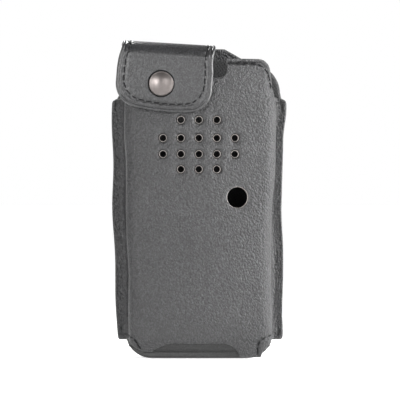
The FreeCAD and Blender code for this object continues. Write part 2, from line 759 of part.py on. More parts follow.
THREADS = {
    "front_top_stitching": front_top_stitching(),
    "gusset_stitching": gusset_stitching(),
    "side_seam_stitching": side_seam_stitching(),
    "foot_stitching": foot_stitching(),
    "back_top_stitching": back_top_stitching(),
    "belt_loop_stitching": belt_loop_stitching(),
    "strap_root_stitching": root_stitching(),
    "bridge_stitching": bridge_stitching(),
    "tongue_stitching": tongue_stitching(),
}
for thread_name, thread_bars in THREADS.items():
    export(thread_name, Part.makeCompound(thread_bars))

tilt = math.radians(STRAP_TILT)
for fold_name, bend, angle in (("rear fold", REAR_BEND, 45), ("front fold", FRONT_BEND, 135)):
    y, up = around(bend, HINGE_RADIUS, angle)
    print(fold_name, "at", round(STRAP_X + up * math.sin(tilt), 3), round(y, 3),
          round(STRAP_TOP + up * math.cos(tilt), 3), "mm")
print("front", round(Y_FRONT, 3), "seam", round(Y_SEAM, 3), "back", round(Y_BACK, 3))
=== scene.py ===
import math

import bpy
import numpy as np
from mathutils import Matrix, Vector
from mathutils.geometry import delaunay_2d_cdt


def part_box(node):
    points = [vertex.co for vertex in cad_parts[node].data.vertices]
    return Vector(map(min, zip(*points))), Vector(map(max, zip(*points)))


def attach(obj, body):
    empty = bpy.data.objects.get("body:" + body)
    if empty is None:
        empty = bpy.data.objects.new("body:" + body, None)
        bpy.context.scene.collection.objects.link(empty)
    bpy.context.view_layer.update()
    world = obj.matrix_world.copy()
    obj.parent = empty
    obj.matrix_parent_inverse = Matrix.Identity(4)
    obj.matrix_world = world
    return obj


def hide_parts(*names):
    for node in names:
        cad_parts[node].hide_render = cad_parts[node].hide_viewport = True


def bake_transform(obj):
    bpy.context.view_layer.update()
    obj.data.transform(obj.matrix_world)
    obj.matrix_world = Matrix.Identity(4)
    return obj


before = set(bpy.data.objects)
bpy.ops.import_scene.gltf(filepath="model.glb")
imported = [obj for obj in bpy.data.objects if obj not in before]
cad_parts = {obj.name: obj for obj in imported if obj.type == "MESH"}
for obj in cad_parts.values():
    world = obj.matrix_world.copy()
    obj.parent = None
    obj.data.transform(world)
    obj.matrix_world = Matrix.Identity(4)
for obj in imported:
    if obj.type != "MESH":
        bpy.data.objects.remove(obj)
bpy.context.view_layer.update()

# Looks of a leather carrying case for a handheld two-way radio.
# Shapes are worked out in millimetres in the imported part's frame and become metres in build().

MM = 0.001


def node_box(node):
    """Lowest and highest corner of a CAD node in millimetres."""
    low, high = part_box(node)
    return [value / MM for value in low], [value / MM for value in high]


# ---- sizes ----

SHELL_LOW, SHELL_HIGH = node_box("front_shell")
BACK_HIGH = node_box("back_panel")[1]
CAP_LOW, CAP_HIGH = node_box("snap_cap")
LOOP_LOW, LOOP_HIGH = node_box("belt_loop")

Y_FRONT = SHELL_LOW[1]
Y_SEAM = SHELL_HIGH[1]
Y_BACK = BACK_HIGH[1]
SEAM_X = SHELL_HIGH[0]
FRONT_TOP = SHELL_HIGH[2] + 0.2
BACK_TOP = BACK_HIGH[2]
FOLD_X = 34.0
CROWN_RADIUS = 211.0
CORNER_RADIUS = 5.0
ROLL_START = 22.0
ROLL_RADIUS = 44.0
SHOULDER_X = 34.0
SHOULDER_Z = 131.4
GUSSET_TOP_FRONT = 122.9
GUSSET_TOP_WALL = 122.0
GUSSET_TOP_BACK = 120.3
GUSSET_FOOT = 8.0
FLARE_RADIUS = 3.0
LIP = 3.3

LEATHER = 1.4
FOAM = 1.3
LINING = 0.6
BOARD = 1.2
GAP = 0.02

NOTCH_LEFT = -8.0
NOTCH_RIGHT = 12.5
NOTCH_FLOOR = 129.4
NOTCH_RADIUS = 3.7

FOOT_HALF_WIDTH = 25.0
FLOOR_TOP = node_box("floor_panel")[1][2]
ARCH_TOP = 6.6

SPEAKER_ROWS = ((110.0, 3), (101.6, 5), (94.2, 5), (87.2, 3))
SPEAKER_PITCH = 8.35
SPEAKER_X = -0.2
SPEAKER_RADIUS = 2.08
SPEAKER_RIM = 0.1
FOAM_STEP = 0.55
CONTROL = (17.7, 74.2)
CONTROL_RADIUS = 4.95

STRAP_X = -14.9
STRAP_TOP = 145.4
STRAP_TILT = math.radians(3.5)
STRAP_HALF_WIDTH = 21.4
STRAP_LEATHER = 1.6
STRAP_THICK = 2.6
STRAP_STAND_OFF = 1.65
BEND_RADIUS = 6.3
TONGUE_HALF_WIDTH = 22.2
TONGUE_LENGTH = 31.8
TONGUE_CORNER = 10.5
STRAP_LEAN = 1.15
ROOT_LENGTH = 40.0
ROOT_HALF_WIDTH = 17.0
ROOT_TAPER = 14.0
ROOT_CORNER = 5.0

SNAP = ((CAP_LOW[0] + CAP_HIGH[0]) / 2, (CAP_LOW[2] + CAP_HIGH[2]) / 2)
CAP_RADIUS = (CAP_HIGH[0] - CAP_LOW[0]) / 2
CAP_HEIGHT = 1.9
BARREL_RADIUS = 1.9
STUD_RADIUS = 4.8
SEAT_DEPTH = 0.92

LOOP_HALF_WIDTH = LOOP_HIGH[0]
LOOP_FOOT = LOOP_LOW[2]
LOOP_TOP = LOOP_HIGH[2]
LOOP_TAB = 10.0
LOOP_SPACE = 5.0
LOOP_LEATHER = 1.5
LOOP_THICK = 2.4
LOOP_SLANT = 6.0

THREAD_RADIUS = 0.32
PIT_DEPTH = 0.55
PIT_RADIUS = 0.46
STITCH_PITCH = 3.6
STITCH_LENGTH = 2.9
HEM = 2.4
TOP_HEM = 2.0
LIP_HEM = 1.1
STRAP_HEM = 3.6

# ---- places that follow from them ----

CORNER_X = FOLD_X - CORNER_RADIUS
CROWN_Y = Y_FRONT + CROWN_RADIUS
CORNER_Y = CROWN_Y - math.sqrt((CROWN_RADIUS - CORNER_RADIUS) ** 2 - CORNER_X ** 2)
CROWN_TILT = math.asin(CORNER_X / (CROWN_RADIUS - CORNER_RADIUS))
ROOT_Y = Y_BACK + GAP + STRAP_THICK
TONGUE_Y = Y_FRONT - STRAP_STAND_OFF - STRAP_THICK


def smooth(value, low, high):
    """0 below low, 1 above high, with a soft change between."""
    t = np.clip((value - low) / (high - low), 0.0, 1.0)
    return t * t * (3 - 2 * t)


def bump(value, middle, width):
    """1 at middle, falling away over the width."""
    return np.exp(-((value - middle) / width) ** 2)


# ---- flat outlines ----

LINE_STEP = 0.55
ROW_SPACING = 0.866


def arc_points(start, through, end, step):
    """Points after start on the arc through the three given ones."""
    ax, ay = start
    bx, by = through
    cx, cy = end
    d = 2 * (ax * (by - cy) + bx * (cy - ay) + cx * (ay - by))
    a2, b2, c2 = ax * ax + ay * ay, bx * bx + by * by, cx * cx + cy * cy
    ox = (a2 * (by - cy) + b2 * (cy - ay) + c2 * (ay - by)) / d
    oy = (a2 * (cx - bx) + b2 * (ax - cx) + c2 * (bx - ax)) / d
    radius = math.hypot(ax - ox, ay - oy)
    first = math.atan2(ay - oy, ax - ox)
    middle = math.atan2(by - oy, bx - ox)
    last = math.atan2(cy - oy, cx - ox)
    turn = (last - first) % (2 * math.pi)
    if (middle - first) % (2 * math.pi) > turn:
        turn -= 2 * math.pi
    count = max(4, math.ceil(abs(turn) * radius / step))
    angles = [first + turn * (n + 1) / count for n in range(count)]
    return [(ox + radius * math.cos(a), oy + radius * math.sin(a)) for a in angles]


def trace(start, *steps, step=LINE_STEP):
    """Points along the steps: a point is reached by a line, a (through, end) pair by an arc."""
    points = [start]
    for item in steps:
        here = points[-1]
        if isinstance(item[0], tuple):
            points += arc_points(here, item[0], item[1], step)
            continue
        count = max(1, math.ceil(math.dist(here, item) / step))
        for n in range(1, count + 1):
            t = n / count
            points.append((here[0] + (item[0] - here[0]) * t, here[1] + (item[1] - here[1]) * t))
    return np.array(points)


def closed(start, *steps, step=LINE_STEP):
    """Closed outline, its last point left out where it repeats the first."""
    points = trace(start, *steps, start, step=step)
    keep = np.linalg.norm(points - np.roll(points, -1, axis=0), axis=1) > 1e-6
    return points[keep]


def circle(x, z, radius, step=0.4):
    """Closed loop of evenly spaced points."""
    count = max(20, math.ceil(2 * math.pi * radius / step))
    turns = np.arange(count) * 2 * math.pi / count
    return np.stack([x + radius * np.cos(turns), z + radius * np.sin(turns)], axis=1)


def loop_distance(points, loop):
    """Distance from each point to a closed loop."""
    along = np.roll(loop, -1, axis=0) - loop
    length2 = (along ** 2).sum(1)
    nearest = np.empty(len(points))
    for n in range(0, len(points), 2000):
        rel = points[n:n + 2000, None, :] - loop[None]
        t = np.clip((rel * along[None]).sum(2) / length2, 0, 1)
        gap = rel - t[..., None] * along[None]
        nearest[n:n + 2000] = np.sqrt((gap ** 2).sum(2).min(1))
    return nearest


def line_distance(points, line):
    """Distance from each point to an open line, by its closely spaced points."""
    nearest = np.empty(len(points))
    for n in range(0, len(points), 2000):
        rel = points[n:n + 2000, None, :] - line[None]
        nearest[n:n + 2000] = np.sqrt((rel ** 2).sum(2).min(1))
    return nearest


def inside(points, loops):
    """True for points within the first loop and outside the others."""
    odd = np.zeros(len(points), bool)
    for a in loops:
        b = np.roll(a, -1, axis=0)
        for n in range(0, len(points), 4000):
            x = points[n:n + 4000, 0, None]
            y = points[n:n + 4000, 1, None]
            spans = (a[:, 1] > y) != (b[:, 1] > y)
            rise = np.where(b[:, 1] == a[:, 1], 1e-12, b[:, 1] - a[:, 1])
            cross = a[:, 0] + (y - a[:, 1]) * (b[:, 0] - a[:, 0]) / rise
            odd[n:n + 4000] ^= ((spans & (x < cross)).sum(1) % 2).astype(bool)
    return odd


def rings_of(loop, inward, distances):
    """Rows of points beside a loop, at each distance into the material."""
    before = loop - np.roll(loop, 1, axis=0)
    after = np.roll(loop, -1, axis=0) - loop
    before /= np.linalg.norm(before, axis=1)[:, None]
    after /= np.linalg.norm(after, axis=1)[:, None]
    mean = before + after
    size = np.linalg.norm(mean, axis=1)
    mean /= np.maximum(size, 1e-9)[:, None]
    normal = np.stack([-mean[:, 1], mean[:, 0]], axis=1) * inward
    stretch = 1 / np.maximum(size / 2, 0.5)
    return [(d, loop + normal * (d * stretch)[:, None]) for d in distances]


def thinned(points, spacing):
    """The first point in each cell of a grid."""
    cells = np.floor(points / spacing).astype(np.int64)
    _, first = np.unique(cells, axis=0, return_index=True)
    return points[np.sort(first)]


def signed_area(loop):
    """Area of a closed loop, positive where it runs anticlockwise."""
    after = np.roll(loop, -1, axis=0)
    return 0.5 * (loop[:, 0] * after[:, 1] - after[:, 0] * loop[:, 1]).sum()


def triangulated(loops, grid, rim_rings, hole_rings):
    """Points and triangles that fill the first loop around the others, finer beside every edge."""
    edges = []
    start = 0
    for loop in loops:
        edges += [(start + n, start + (n + 1) % len(loop)) for n in range(len(loop))]
        start += len(loop)
    extra = []
    for number, loop in enumerate(loops):
        way = 1 if signed_area(loop) > 0 else -1
        inward = way if number == 0 else -way
        for d, row in rings_of(loop, inward, rim_rings if number == 0 else hole_rings):
            row = row[inside(row, loops)]
            clear = np.min([loop_distance(row, other) for other in loops], axis=0)
            extra.append(thinned(row[clear > d * 0.96], LINE_STEP * 0.62))
    low, high = loops[0].min(0), loops[0].max(0)
    rows = []
    for number, v in enumerate(np.arange(low[1], high[1], grid * ROW_SPACING)):
        shift = grid / 2 if number % 2 else 0.0
        u = np.arange(low[0] + shift, high[0], grid)
        rows.append(np.stack([u, np.full(len(u), v)], axis=1))
    field = np.concatenate(rows)
    field = field[inside(field, loops)]
    for number, loop in enumerate(loops):
        ringed = max(rim_rings if number == 0 else hole_rings)
        field = field[loop_distance(field, loop) > ringed + grid * 0.4]
    every = np.concatenate(loops + extra + [field])
    cut = delaunay_2d_cdt([Vector(p) for p in every], edges, [], 0, 1e-5, False)
    flat = np.array([(p.x, p.y) for p in cut[0]])
    faces = np.array([f for f in cut[2] if len(f) == 3])
    faces = faces[inside(flat[faces].mean(1), loops)]
    return flat, faces


# ---- from flat cuts to solid leather ----

def offset_place(base, step=0.05):
    """A way to place (u, v, depth), with depth measured inwards from the face base(u, v)."""
    def place(u, v, depth):
        at = base(u, v)
        du = base(u + step, v) - base(u - step, v)
        dv = base(u, v + step) - base(u, v - step)
        out = np.cross(du, dv)
        out /= np.maximum(np.linalg.norm(out, axis=1), 1e-12)[:, None]
        return at - out * np.asarray(depth)[:, None]
    return place


def build(name, points, faces, material, attributes=None, sharp=None):
    """Closed mesh object from points in millimetres, its faces turned outwards."""
    points = np.asarray(points, float)
    corners = [list(map(int, f)) for f in faces]
    fans = np.array([(f[0], f[n], f[n + 1]) for f in corners for n in range(1, len(f) - 1)])
    a, b, c = points[fans.T]
    if (a * np.cross(b, c)).sum() < 0:
        corners = [f[::-1] for f in corners]
    mesh = bpy.data.meshes.new(name)
    mesh.from_pydata((points * MM).tolist(), [], corners)
    mesh.polygons.foreach_set("use_smooth", np.ones(len(mesh.polygons), bool))
    for label, values in (attributes or {}).items():
        layer = mesh.attributes.new(label, "FLOAT", "POINT")
        layer.data.foreach_set("value", np.asarray(values, np.float32))
    if sharp is not None:
        for edge in mesh.edges:
            a, b = edge.vertices
            if sharp[a] and sharp[b]:
                edge.use_edge_sharp = True
    mesh.validate()
    mesh.update()
    mesh.materials.append(material)
    return placed(name, mesh)


def placed(name, data):
    """A new object in the scene."""
    made = bpy.data.objects.new(name, data)
    bpy.context.scene.collection.objects.link(made)
    return made


def sheet(name, loops, place, top, bottom, material, relief=None, under=None, grid=1.5,
          rim_rings=(0.15, 0.4, 0.8, 1.3), hole_rings=(0.15, 0.4), round_over=0.45, rim=None,
          split=None, turned=None):
    """A flat cut of leather or cloth laid on a surface, between the depths top and bottom.

    relief(u, v, d) and under(u, v, d) press the outer and the inner face in, where d is the
    distance to the rim; rim is the whole piece's outline where this cut is only a part of it,
    and split the line v that it is cut on. turned(v) is 1 where a hem shows grain inside too."""
    flat, faces = triangulated(loops, grid, rim_rings, hole_rings)
    u, v = flat[:, 0], flat[:, 1]
    edge = loop_distance(flat, loops[0] if rim is None else rim)
    nearest = np.min([edge] + [loop_distance(flat, loop) for loop in loops[1:]], axis=0)
    thick = bottom - top

    def rounding(radius):
        short = np.clip(radius - nearest, 0, radius)
        return radius - np.sqrt(radius ** 2 - short ** 2)

    outer = top + rounding(round_over * thick)
    inner = bottom - rounding(0.3 * thick)
    fade = smooth(nearest, 0.0, 0.5)
    if relief is not None:
        outer = outer + relief(u, v, edge) * fade
    if under is not None:
        inner = inner - under(u, v, edge) * fade
    inner = np.maximum(inner, outer + 0.1 * thick)
    count = len(flat)
    points = np.concatenate([place(u, v, outer), place(u, v, inner)])
    every = list(faces) + [f[::-1] + count for f in faces]
    start = 0
    for number, loop in enumerate(loops):
        outwards = (number == 0) == (signed_area(loop) > 0)
        for n in range(len(loop)):
            a, b = start + n, start + (n + 1) % len(loop)
            if not outwards:
                a, b = b, a
            every.append(np.array([b, a, a + count, b + count]))
        start += len(loop)
    raw = np.ones(count) if turned is None else 1 - turned(v)
    flesh = np.concatenate([np.zeros(count), raw])
    sharp = None if split is None else np.tile(np.abs(v - split) < 1e-4, 2)
    return build(name, points, every, material, {"rim_mm": np.tile(nearest, 2), "flesh": flesh}, sharp)


# ---- surfaces of the pouch ----

CROWN_LENGTH = CROWN_RADIUS * CROWN_TILT
S_CORNER = CROWN_LENGTH + CORNER_RADIUS * (math.pi / 2 - CROWN_TILT)
WALL_END = Y_SEAM - LEATHER - FLARE_RADIUS
WALL_SPREAD = SEAM_X - LIP - FLARE_RADIUS - FOLD_X
S_WALL = S_CORNER + math.hypot(WALL_SPREAD, WALL_END - CORNER_Y)
S_FLARE = S_WALL + FLARE_RADIUS * math.pi / 2
S_LIP = S_FLARE + LIP
S_BACK = S_CORNER + math.hypot(WALL_SPREAD, Y_SEAM - GAP - CORNER_Y)


def seam_shift(side, z):
    """How far the seam stands in from its widest place: the gussets have gone slack unevenly."""
    right = 1.9 - 1.7 * smooth(z, 101, 117) + 0.28 * np.sin(z / 9.5) - 0.35 * bump(z, 12, 6)
    right = right + 0.35 * bump(z, 66, 10)
    left = 0.45 + 2.1 * (1 - smooth(z, 2, 74)) + 0.34 * np.sin(z / 7.0 + 1.1) - 0.3 * bump(z, 104, 14)
    return np.where(side > 0, right, left)


def fold_shift(side, z):
    """How far the front's corner stands in from a straight fold: wide at the top, drawn in below."""
    right = -1.2 + 2.0 * (1 - smooth(z, 66, 88)) - 0.15 * np.sin(z / 8.0)
    left = -0.5 + 0.8 * (1 - smooth(z, 92, 103)) + 1.2 * (1 - smooth(z, 34, 60))
    return np.where(side > 0, right, left) * (1 - smooth(z, 116, 126))


def plan(s, flare):
    """Outside of the leather seen from above, at a run s round from the middle of the front."""
    run = np.abs(s)
    turn = np.minimum(run, CROWN_LENGTH) / CROWN_RADIUS
    x = CROWN_RADIUS * np.sin(turn)
    y = CROWN_Y - CROWN_RADIUS * np.cos(turn)
    bend = np.clip(run - CROWN_LENGTH, 0, S_CORNER - CROWN_LENGTH) / CORNER_RADIUS + CROWN_TILT
    on_corner = run > CROWN_LENGTH
    x = np.where(on_corner, CORNER_X + CORNER_RADIUS * np.sin(bend), x)
    y = np.where(on_corner, CORNER_Y - CORNER_RADIUS * np.cos(bend), y)
    limit = S_WALL if flare else S_LIP + 20
    wall = np.clip(run, S_CORNER, limit) - S_CORNER
    slope = WALL_SPREAD / (S_WALL - S_CORNER)
    x = x + wall * slope
    y = y + wall * math.sqrt(1 - slope ** 2)
    if flare:
        sweep = np.clip(run - S_WALL, 0, S_FLARE - S_WALL) / FLARE_RADIUS
        x = x + FLARE_RADIUS * (1 - np.cos(sweep))
        y = y + FLARE_RADIUS * np.sin(sweep)
        x = x + np.maximum(run - S_FLARE, 0)
    return np.where(s < 0, -x, x), y


def pocket_base(flare):
    """Face of the pouch's leather; without the flare its walls run straight on to the back."""
    def base(s, z):
        x, y = plan(s, flare)
        run = np.abs(s)
        low = np.maximum(ROLL_START - z, 0)
        roll = ROLL_RADIUS - np.sqrt(ROLL_RADIUS ** 2 - low ** 2)
        y = y + roll * (1 - smooth(run, S_CORNER - 1, S_CORNER + 20))
        reach = smooth(run, S_CORNER + 2, S_WALL - 2)
        drawn_in = fold_shift(s, z) * smooth(run, 16, S_CORNER - 3) * (1 - reach)
        x = x - np.sign(s) * (drawn_in + seam_shift(s, z) * reach)
        belly = 0.35 * np.sin(z / 13.0 + 0.4) * bump(run, (S_CORNER + S_WALL) / 2, 9)
        x = x + np.sign(s) * belly
        waves = 0.10 * np.sin(s / 11.0 + z / 17.0) + 0.07 * np.sin(z / 8.5 - s / 23.0)
        y = y + waves * (1 - smooth(run, CROWN_LENGTH - 4, S_CORNER))
        return np.stack([x, y, z], axis=1)
    return base


POCKET = offset_place(pocket_base(True))
POCKET_INSIDE = offset_place(pocket_base(False))


def run_of(x):
    """Run round the leather to a distance x from the middle, on the front or its corner."""
    if abs(x) <= CROWN_RADIUS * math.sin(CROWN_TILT):
        return math.copysign(CROWN_RADIUS * math.asin(abs(x) / CROWN_RADIUS), x)
    turn = math.asin(min(1.0, (abs(x) - CORNER_X) / CORNER_RADIUS)) - CROWN_TILT
    return math.copysign(CROWN_LENGTH + CORNER_RADIUS * turn, x)


def top_steps(inset):
    """Top edge of the front from its left to its right shoulder, as steps in run and height."""
    top = FRONT_TOP - inset
    floor = NOTCH_FLOOR - inset
    left = NOTCH_LEFT - inset
    right = NOTCH_RIGHT + inset
    soft = NOTCH_RADIUS * (1 - math.sqrt(0.5))
    shoulder = SHOULDER_X - inset
    corner = GUSSET_TOP_FRONT + 1.0
    return [
        (-S_CORNER + 0.4 + inset, corner),
        (-shoulder, SHOULDER_Z),
        ((-shoulder + 2.0, top - 2.0), (-shoulder + 7.0, top)),
        (left, top),
        (left, floor + NOTCH_RADIUS),
        ((left + soft, floor + soft), (left + NOTCH_RADIUS, floor)),
        (right - NOTCH_RADIUS, floor),
        ((right - soft, floor + soft), (right, floor + NOTCH_RADIUS)),
        (right, top),
        (shoulder - 7.6, top - 0.2),
        ((shoulder - 2.1, top - 2.3), (shoulder, SHOULDER_Z)),
        (S_CORNER - 0.4 - inset, corner),
    ]


def shell_outline():
    """Flat cut of the front panel with its gussets, flanges and legs."""
    leg = 29.5
    return closed(
        (-S_LIP, GUSSET_TOP_BACK - 2.4),
        ((-S_LIP + 0.6, GUSSET_TOP_BACK - 0.7), (-S_LIP + 2.2, GUSSET_TOP_BACK)),
        (-S_WALL, GUSSET_TOP_WALL),
        (-S_CORNER - 1.2, GUSSET_TOP_FRONT),
        *top_steps(0),
        (S_CORNER + 1.2, GUSSET_TOP_FRONT),
        (S_WALL, GUSSET_TOP_WALL),
        (S_LIP - 2.2, GUSSET_TOP_BACK),
        ((S_LIP - 0.6, GUSSET_TOP_BACK - 0.7), (S_LIP, GUSSET_TOP_BACK - 2.4)),
        (S_LIP, GUSSET_FOOT + 1.8),
        ((S_LIP - 0.5, GUSSET_FOOT + 0.5), (S_LIP - 2.0, GUSSET_FOOT)),
        (S_CORNER - 2.2, GUSSET_FOOT - 0.6),
        ((leg + 2.6, GUSSET_FOOT - 2.9), (leg + 0.7, 3.0)),
        (leg, 0.8),
        ((leg - 0.25, 0.35), (leg - 0.8, 0.2)),
        (18.8, 0.2),
        ((16.2, 4.6), (9.0, ARCH_TOP)),
        (-12.0, ARCH_TOP),
        ((-18.0, 5.2), (-22.4, 2.7)),
        (-27.6, 3.0),
        ((-31.0, 4.6), (-S_CORNER + 1.6, GUSSET_FOOT - 0.6)),
        (-S_LIP + 2.0, GUSSET_FOOT),
        ((-S_LIP + 0.5, GUSSET_FOOT + 0.5), (-S_LIP, GUSSET_FOOT + 1.8)),
    )


def speaker_holes(radius):
    """The round holes over the radio's speaker, row by row."""
    holes = []
    for height, count in SPEAKER_ROWS:
        for number in range(count):
            x = SPEAKER_X + (number - (count - 1) / 2) * SPEAKER_PITCH
            holes.append(circle(run_of(x), height, radius))
    return holes


def punched(shrink):
    """Every hole through the front, smaller by shrink."""
    control = circle(run_of(CONTROL[0]), CONTROL[1], CONTROL_RADIUS - 0.3 * shrink)
    snap = circle(run_of(SNAP[0]), SNAP[1], BARREL_RADIUS + 0.1)
    return speaker_holes(SPEAKER_RADIUS - shrink) + [control, snap]


def pits(u, v, marks, depth=PIT_DEPTH, radius=PIT_RADIUS):
    """Dimples that the needle leaves at both ends of each stitch."""
    pressed = np.zeros(len(u))
    reach = 1.5
    for a, b in marks:
        for x, z in (a, b):
            near = (np.abs(u - x) < reach) & (np.abs(v - z) < reach)
            r2 = (u[near] - x) ** 2 + (v[near] - z) ** 2
            pressed[near] = np.maximum(pressed[near], depth * np.exp(-r2 / radius ** 2))
    return pressed


def sewn_edge(d, hem, bead=0.10, crease=0.14, groove=0.18):
    """Raised rounded edge, pressed line beside it, and the groove that the thread lies in."""
    shape = -bead * bump(d, 0.85, 0.35) + crease * bump(d, 1.5, 0.22)
    return shape + groove * bump(d, hem, 0.42)


# ---- stitches ----

def run_along(line):
    """Length of a line up to each of its points."""
    return np.concatenate([[0], np.cumsum(np.linalg.norm(np.diff(line, axis=0), axis=1))])


def even_marks(line, pitch, length, lead=0.0):
    """Start and end of each stitch along a line of (u, v) points."""
    run = run_along(line)
    count = max(1, round((run[-1] - 2 * lead) / pitch))
    spacing = (run[-1] - 2 * lead) / count
    gap = max(0.0, spacing - length)
    marks = []
    for number in range(count):
        ends = (lead + number * spacing + gap / 2, lead + (number + 1) * spacing - gap / 2)
        marks.append([(np.interp(e, run, line[:, 0]), np.interp(e, run, line[:, 1])) for e in ends])
    return marks


def marks_along(start, *steps):
    """Stitches at the usual pitch along a traced line."""
    return even_marks(trace(start, *steps), STITCH_PITCH, STITCH_LENGTH)


def stitch_row(name, groups, material, radius=THREAD_RADIUS, stations=9, sides=8):
    """Twisted thread: each stitch rises out of one needle hole and dives into the next.

    groups holds (marks, place, level) where level is the thread's depth in the middle of a stitch."""
    points = []
    faces = []
    slant = 0.11
    dive = 0.95
    t = np.linspace(-1, 1, stations)
    turns = np.arange(sides) * 2 * math.pi / sides
    for marks, place, level in groups:
        for a, b in marks:
            a, b = np.array(a), np.array(b)
            length = np.linalg.norm(b - a)
            along = (b - a) / length
            across = np.array([-along[1], along[0]])
            middle = (a + b) / 2
            start = len(points) * sides
            for n in range(stations):
                twist = turns * 2 - t[n] * length * 1.9
                size = radius * (1 + 0.10 * np.cos(twist)) * (1 - 0.22 * t[n] ** 4)
                side = size * np.cos(turns) + slant * t[n]
                lift = size * np.sin(turns) * 0.9
                centre = middle + along * (t[n] * length / 2)
                flat = centre[None] + across[None] * side[:, None]
                depth = level + dive * abs(t[n]) ** 5 - lift
                points.append(place(flat[:, 0], flat[:, 1], depth))
            for n in range(stations - 1):
                for k in range(sides):
                    j = (k + 1) % sides
                    low = start + n * sides
                    faces.append((low + k, low + j, low + sides + j, low + sides + k))
            faces.append(tuple(start + k for k in reversed(range(sides))))
            top = start + (stations - 1) * sides
            faces.append(tuple(top + k for k in range(sides)))
    every = np.concatenate(points)
    return build(name, every, faces, material, {"rim_mm": np.full(len(every), 3.0)})


# ---- materials ----

def blank(name):
    """A new material with its node tree and its shader."""
    material = bpy.data.materials.new(name)
    material.use_nodes = True
    tree = material.node_tree
    return material, tree, tree.nodes["Principled BSDF"]


def add(tree, kind, values=None, **settings):
    """A shader node, its inputs set to values or linked to other nodes' outputs."""
    made = tree.nodes.new(kind)
    for key, value in settings.items():
        setattr(made, key, value)
    for key, value in (values or {}).items():
        if isinstance(value, bpy.types.NodeSocket):
            tree.links.new(value, made.inputs[key])
        else:
            made.inputs[key].default_value = value
    return made


def object_space(tree, scale=(1, 1, 1), turn=(0, 0, 0)):
    """Object coordinates in metres, stretched and turned."""
    coords = add(tree, "ShaderNodeTexCoord").outputs["Object"]
    return add(tree, "ShaderNodeMapping", {"Vector": coords, "Scale": scale, "Rotation": turn}).outputs[0]


def math_node(tree, kind, a, b, clamp=False):
    return add(tree, "ShaderNodeMath", {0: a, 1: b}, operation=kind, use_clamp=clamp).outputs[0]


def ramp(tree, value, low, high, to_low=0.0, to_high=1.0):
    """A value between low and high, turned into one between to_low and to_high."""
    values = {"Value": value, "From Min": low, "From Max": high, "To Min": to_low, "To Max": to_high}
    return add(tree, "ShaderNodeMapRange", values, clamp=True).outputs["Result"]


def blended(tree, factor, a, b):
    """Colour a where factor is 0 and b where it is 1."""
    node = add(tree, "ShaderNodeMix", {"Factor": factor}, data_type="RGBA")
    for socket, value in (("A", a), ("B", b)):
        target = [s for s in node.inputs if s.name == socket and s.type == "RGBA"][0]
        if isinstance(value, bpy.types.NodeSocket):
            tree.links.new(value, target)
        else:
            target.default_value = (*value, 1)
    return [s for s in node.outputs if s.type == "RGBA"][0]


def noise_value(tree, vector, scale, detail=3.0, roughness=0.5):
    values = {"Vector": vector, "Scale": scale, "Detail": detail, "Roughness": roughness}
    return add(tree, "ShaderNodeTexNoise", values).outputs["Fac"]


def scaled(colour, factor):
    return tuple(value * factor for value in colour)


def wired(tree, shader, colour, rough, strength, distance, height):
    """Joins a colour, a roughness and the bump of a height to the shader."""
    tree.links.new(colour, shader.inputs["Base Color"])
    tree.links.new(rough, shader.inputs["Roughness"])
    relief = add(tree, "ShaderNodeBump", {"Strength": strength, "Distance": distance, "Height": height})
    tree.links.new(relief.outputs[0], shader.inputs["Normal"])
    return relief


def leather_material(name, base, worn_edge_and_highlight, grain=1250.0, depth=0.00060, shine=0.43):
    """Pebbled leather: domed cells with fine creases between them, the creases painted darker as shade, and
    paler at the edges for rubbing wear together with a painted edge highlight.
    """
    material, tree, shader = blank(name)
    plain = object_space(tree)
    slant = object_space(tree, (1.0, 1.0, 0.8), (0, 0.75, 0))
    cells = add(tree, "ShaderNodeTexVoronoi", {"Vector": slant, "Scale": grain, "Randomness": 1.0},
                feature="SMOOTH_F1").outputs["Distance"]
    fine = add(tree, "ShaderNodeTexVoronoi", {"Vector": plain, "Scale": grain * 2.3},
               feature="F1").outputs["Distance"]
    creases = noise_value(tree, slant, grain * 0.5, 4.0, 0.6)
    specks = noise_value(tree, slant, grain * 1.25, 2.0, 0.5)
    broad = noise_value(tree, plain, 26.0, 4.0, 0.55)
    mottle = noise_value(tree, slant, 420.0, 3.0, 0.6)
    domes = math_node(tree, "SUBTRACT", math_node(tree, "SUBTRACT", 1.0, cells),
                      math_node(tree, "MULTIPLY", fine, 0.35))
    height = math_node(tree, "ADD", domes, math_node(tree, "MULTIPLY", creases, 0.8))
    rim = add(tree, "ShaderNodeAttribute", attribute_name="rim_mm").outputs["Fac"]
    flesh = add(tree, "ShaderNodeAttribute", attribute_name="flesh").outputs["Fac"]
    # Paler within 0.8 mm of the rim: partly rubbing wear, partly a painted highlight along the edges.
    rubbed_edge_and_highlight = math_node(tree, "MULTIPLY", ramp(tree, rim, 0.1, 0.8, 0.8, 0.0), ramp(tree, mottle, 0.35, 0.7))
    colour = blended(tree, ramp(tree, broad, 0.3, 0.7), scaled(base, 0.85), scaled(base, 1.18))
    # Darker where the grain height is low: painted shade in the creases between the domes.
    colour = blended(tree, ramp(tree, height, 0.6, 1.1, 0.85, 0.0), colour, scaled(base, 0.25))
    colour = blended(tree, ramp(tree, specks, 0.46, 0.68, 0.0, 0.75), colour, scaled(base, 2.2))
    colour = blended(tree, rubbed_edge_and_highlight, colour, worn_edge_and_highlight)
    suede = blended(tree, mottle, (0.016, 0.0155, 0.015), (0.034, 0.033, 0.032))
    colour = blended(tree, flesh, colour, suede)
    smooth_side = ramp(tree, mottle, 0.25, 0.75, shine - 0.05, shine + 0.09)
    rough = math_node(tree, "ADD", smooth_side, math_node(tree, "MULTIPLY", flesh, 0.35), clamp=True)
    grain_bump = wired(tree, shader, colour, rough, 0.8, depth, height)
    swell = add(tree, "ShaderNodeBump", {"Strength": 0.5, "Distance": 0.0009, "Height": broad,
                                         "Normal": grain_bump.outputs[0]})
    tree.links.new(swell.outputs[0], shader.inputs["Normal"])
    return material


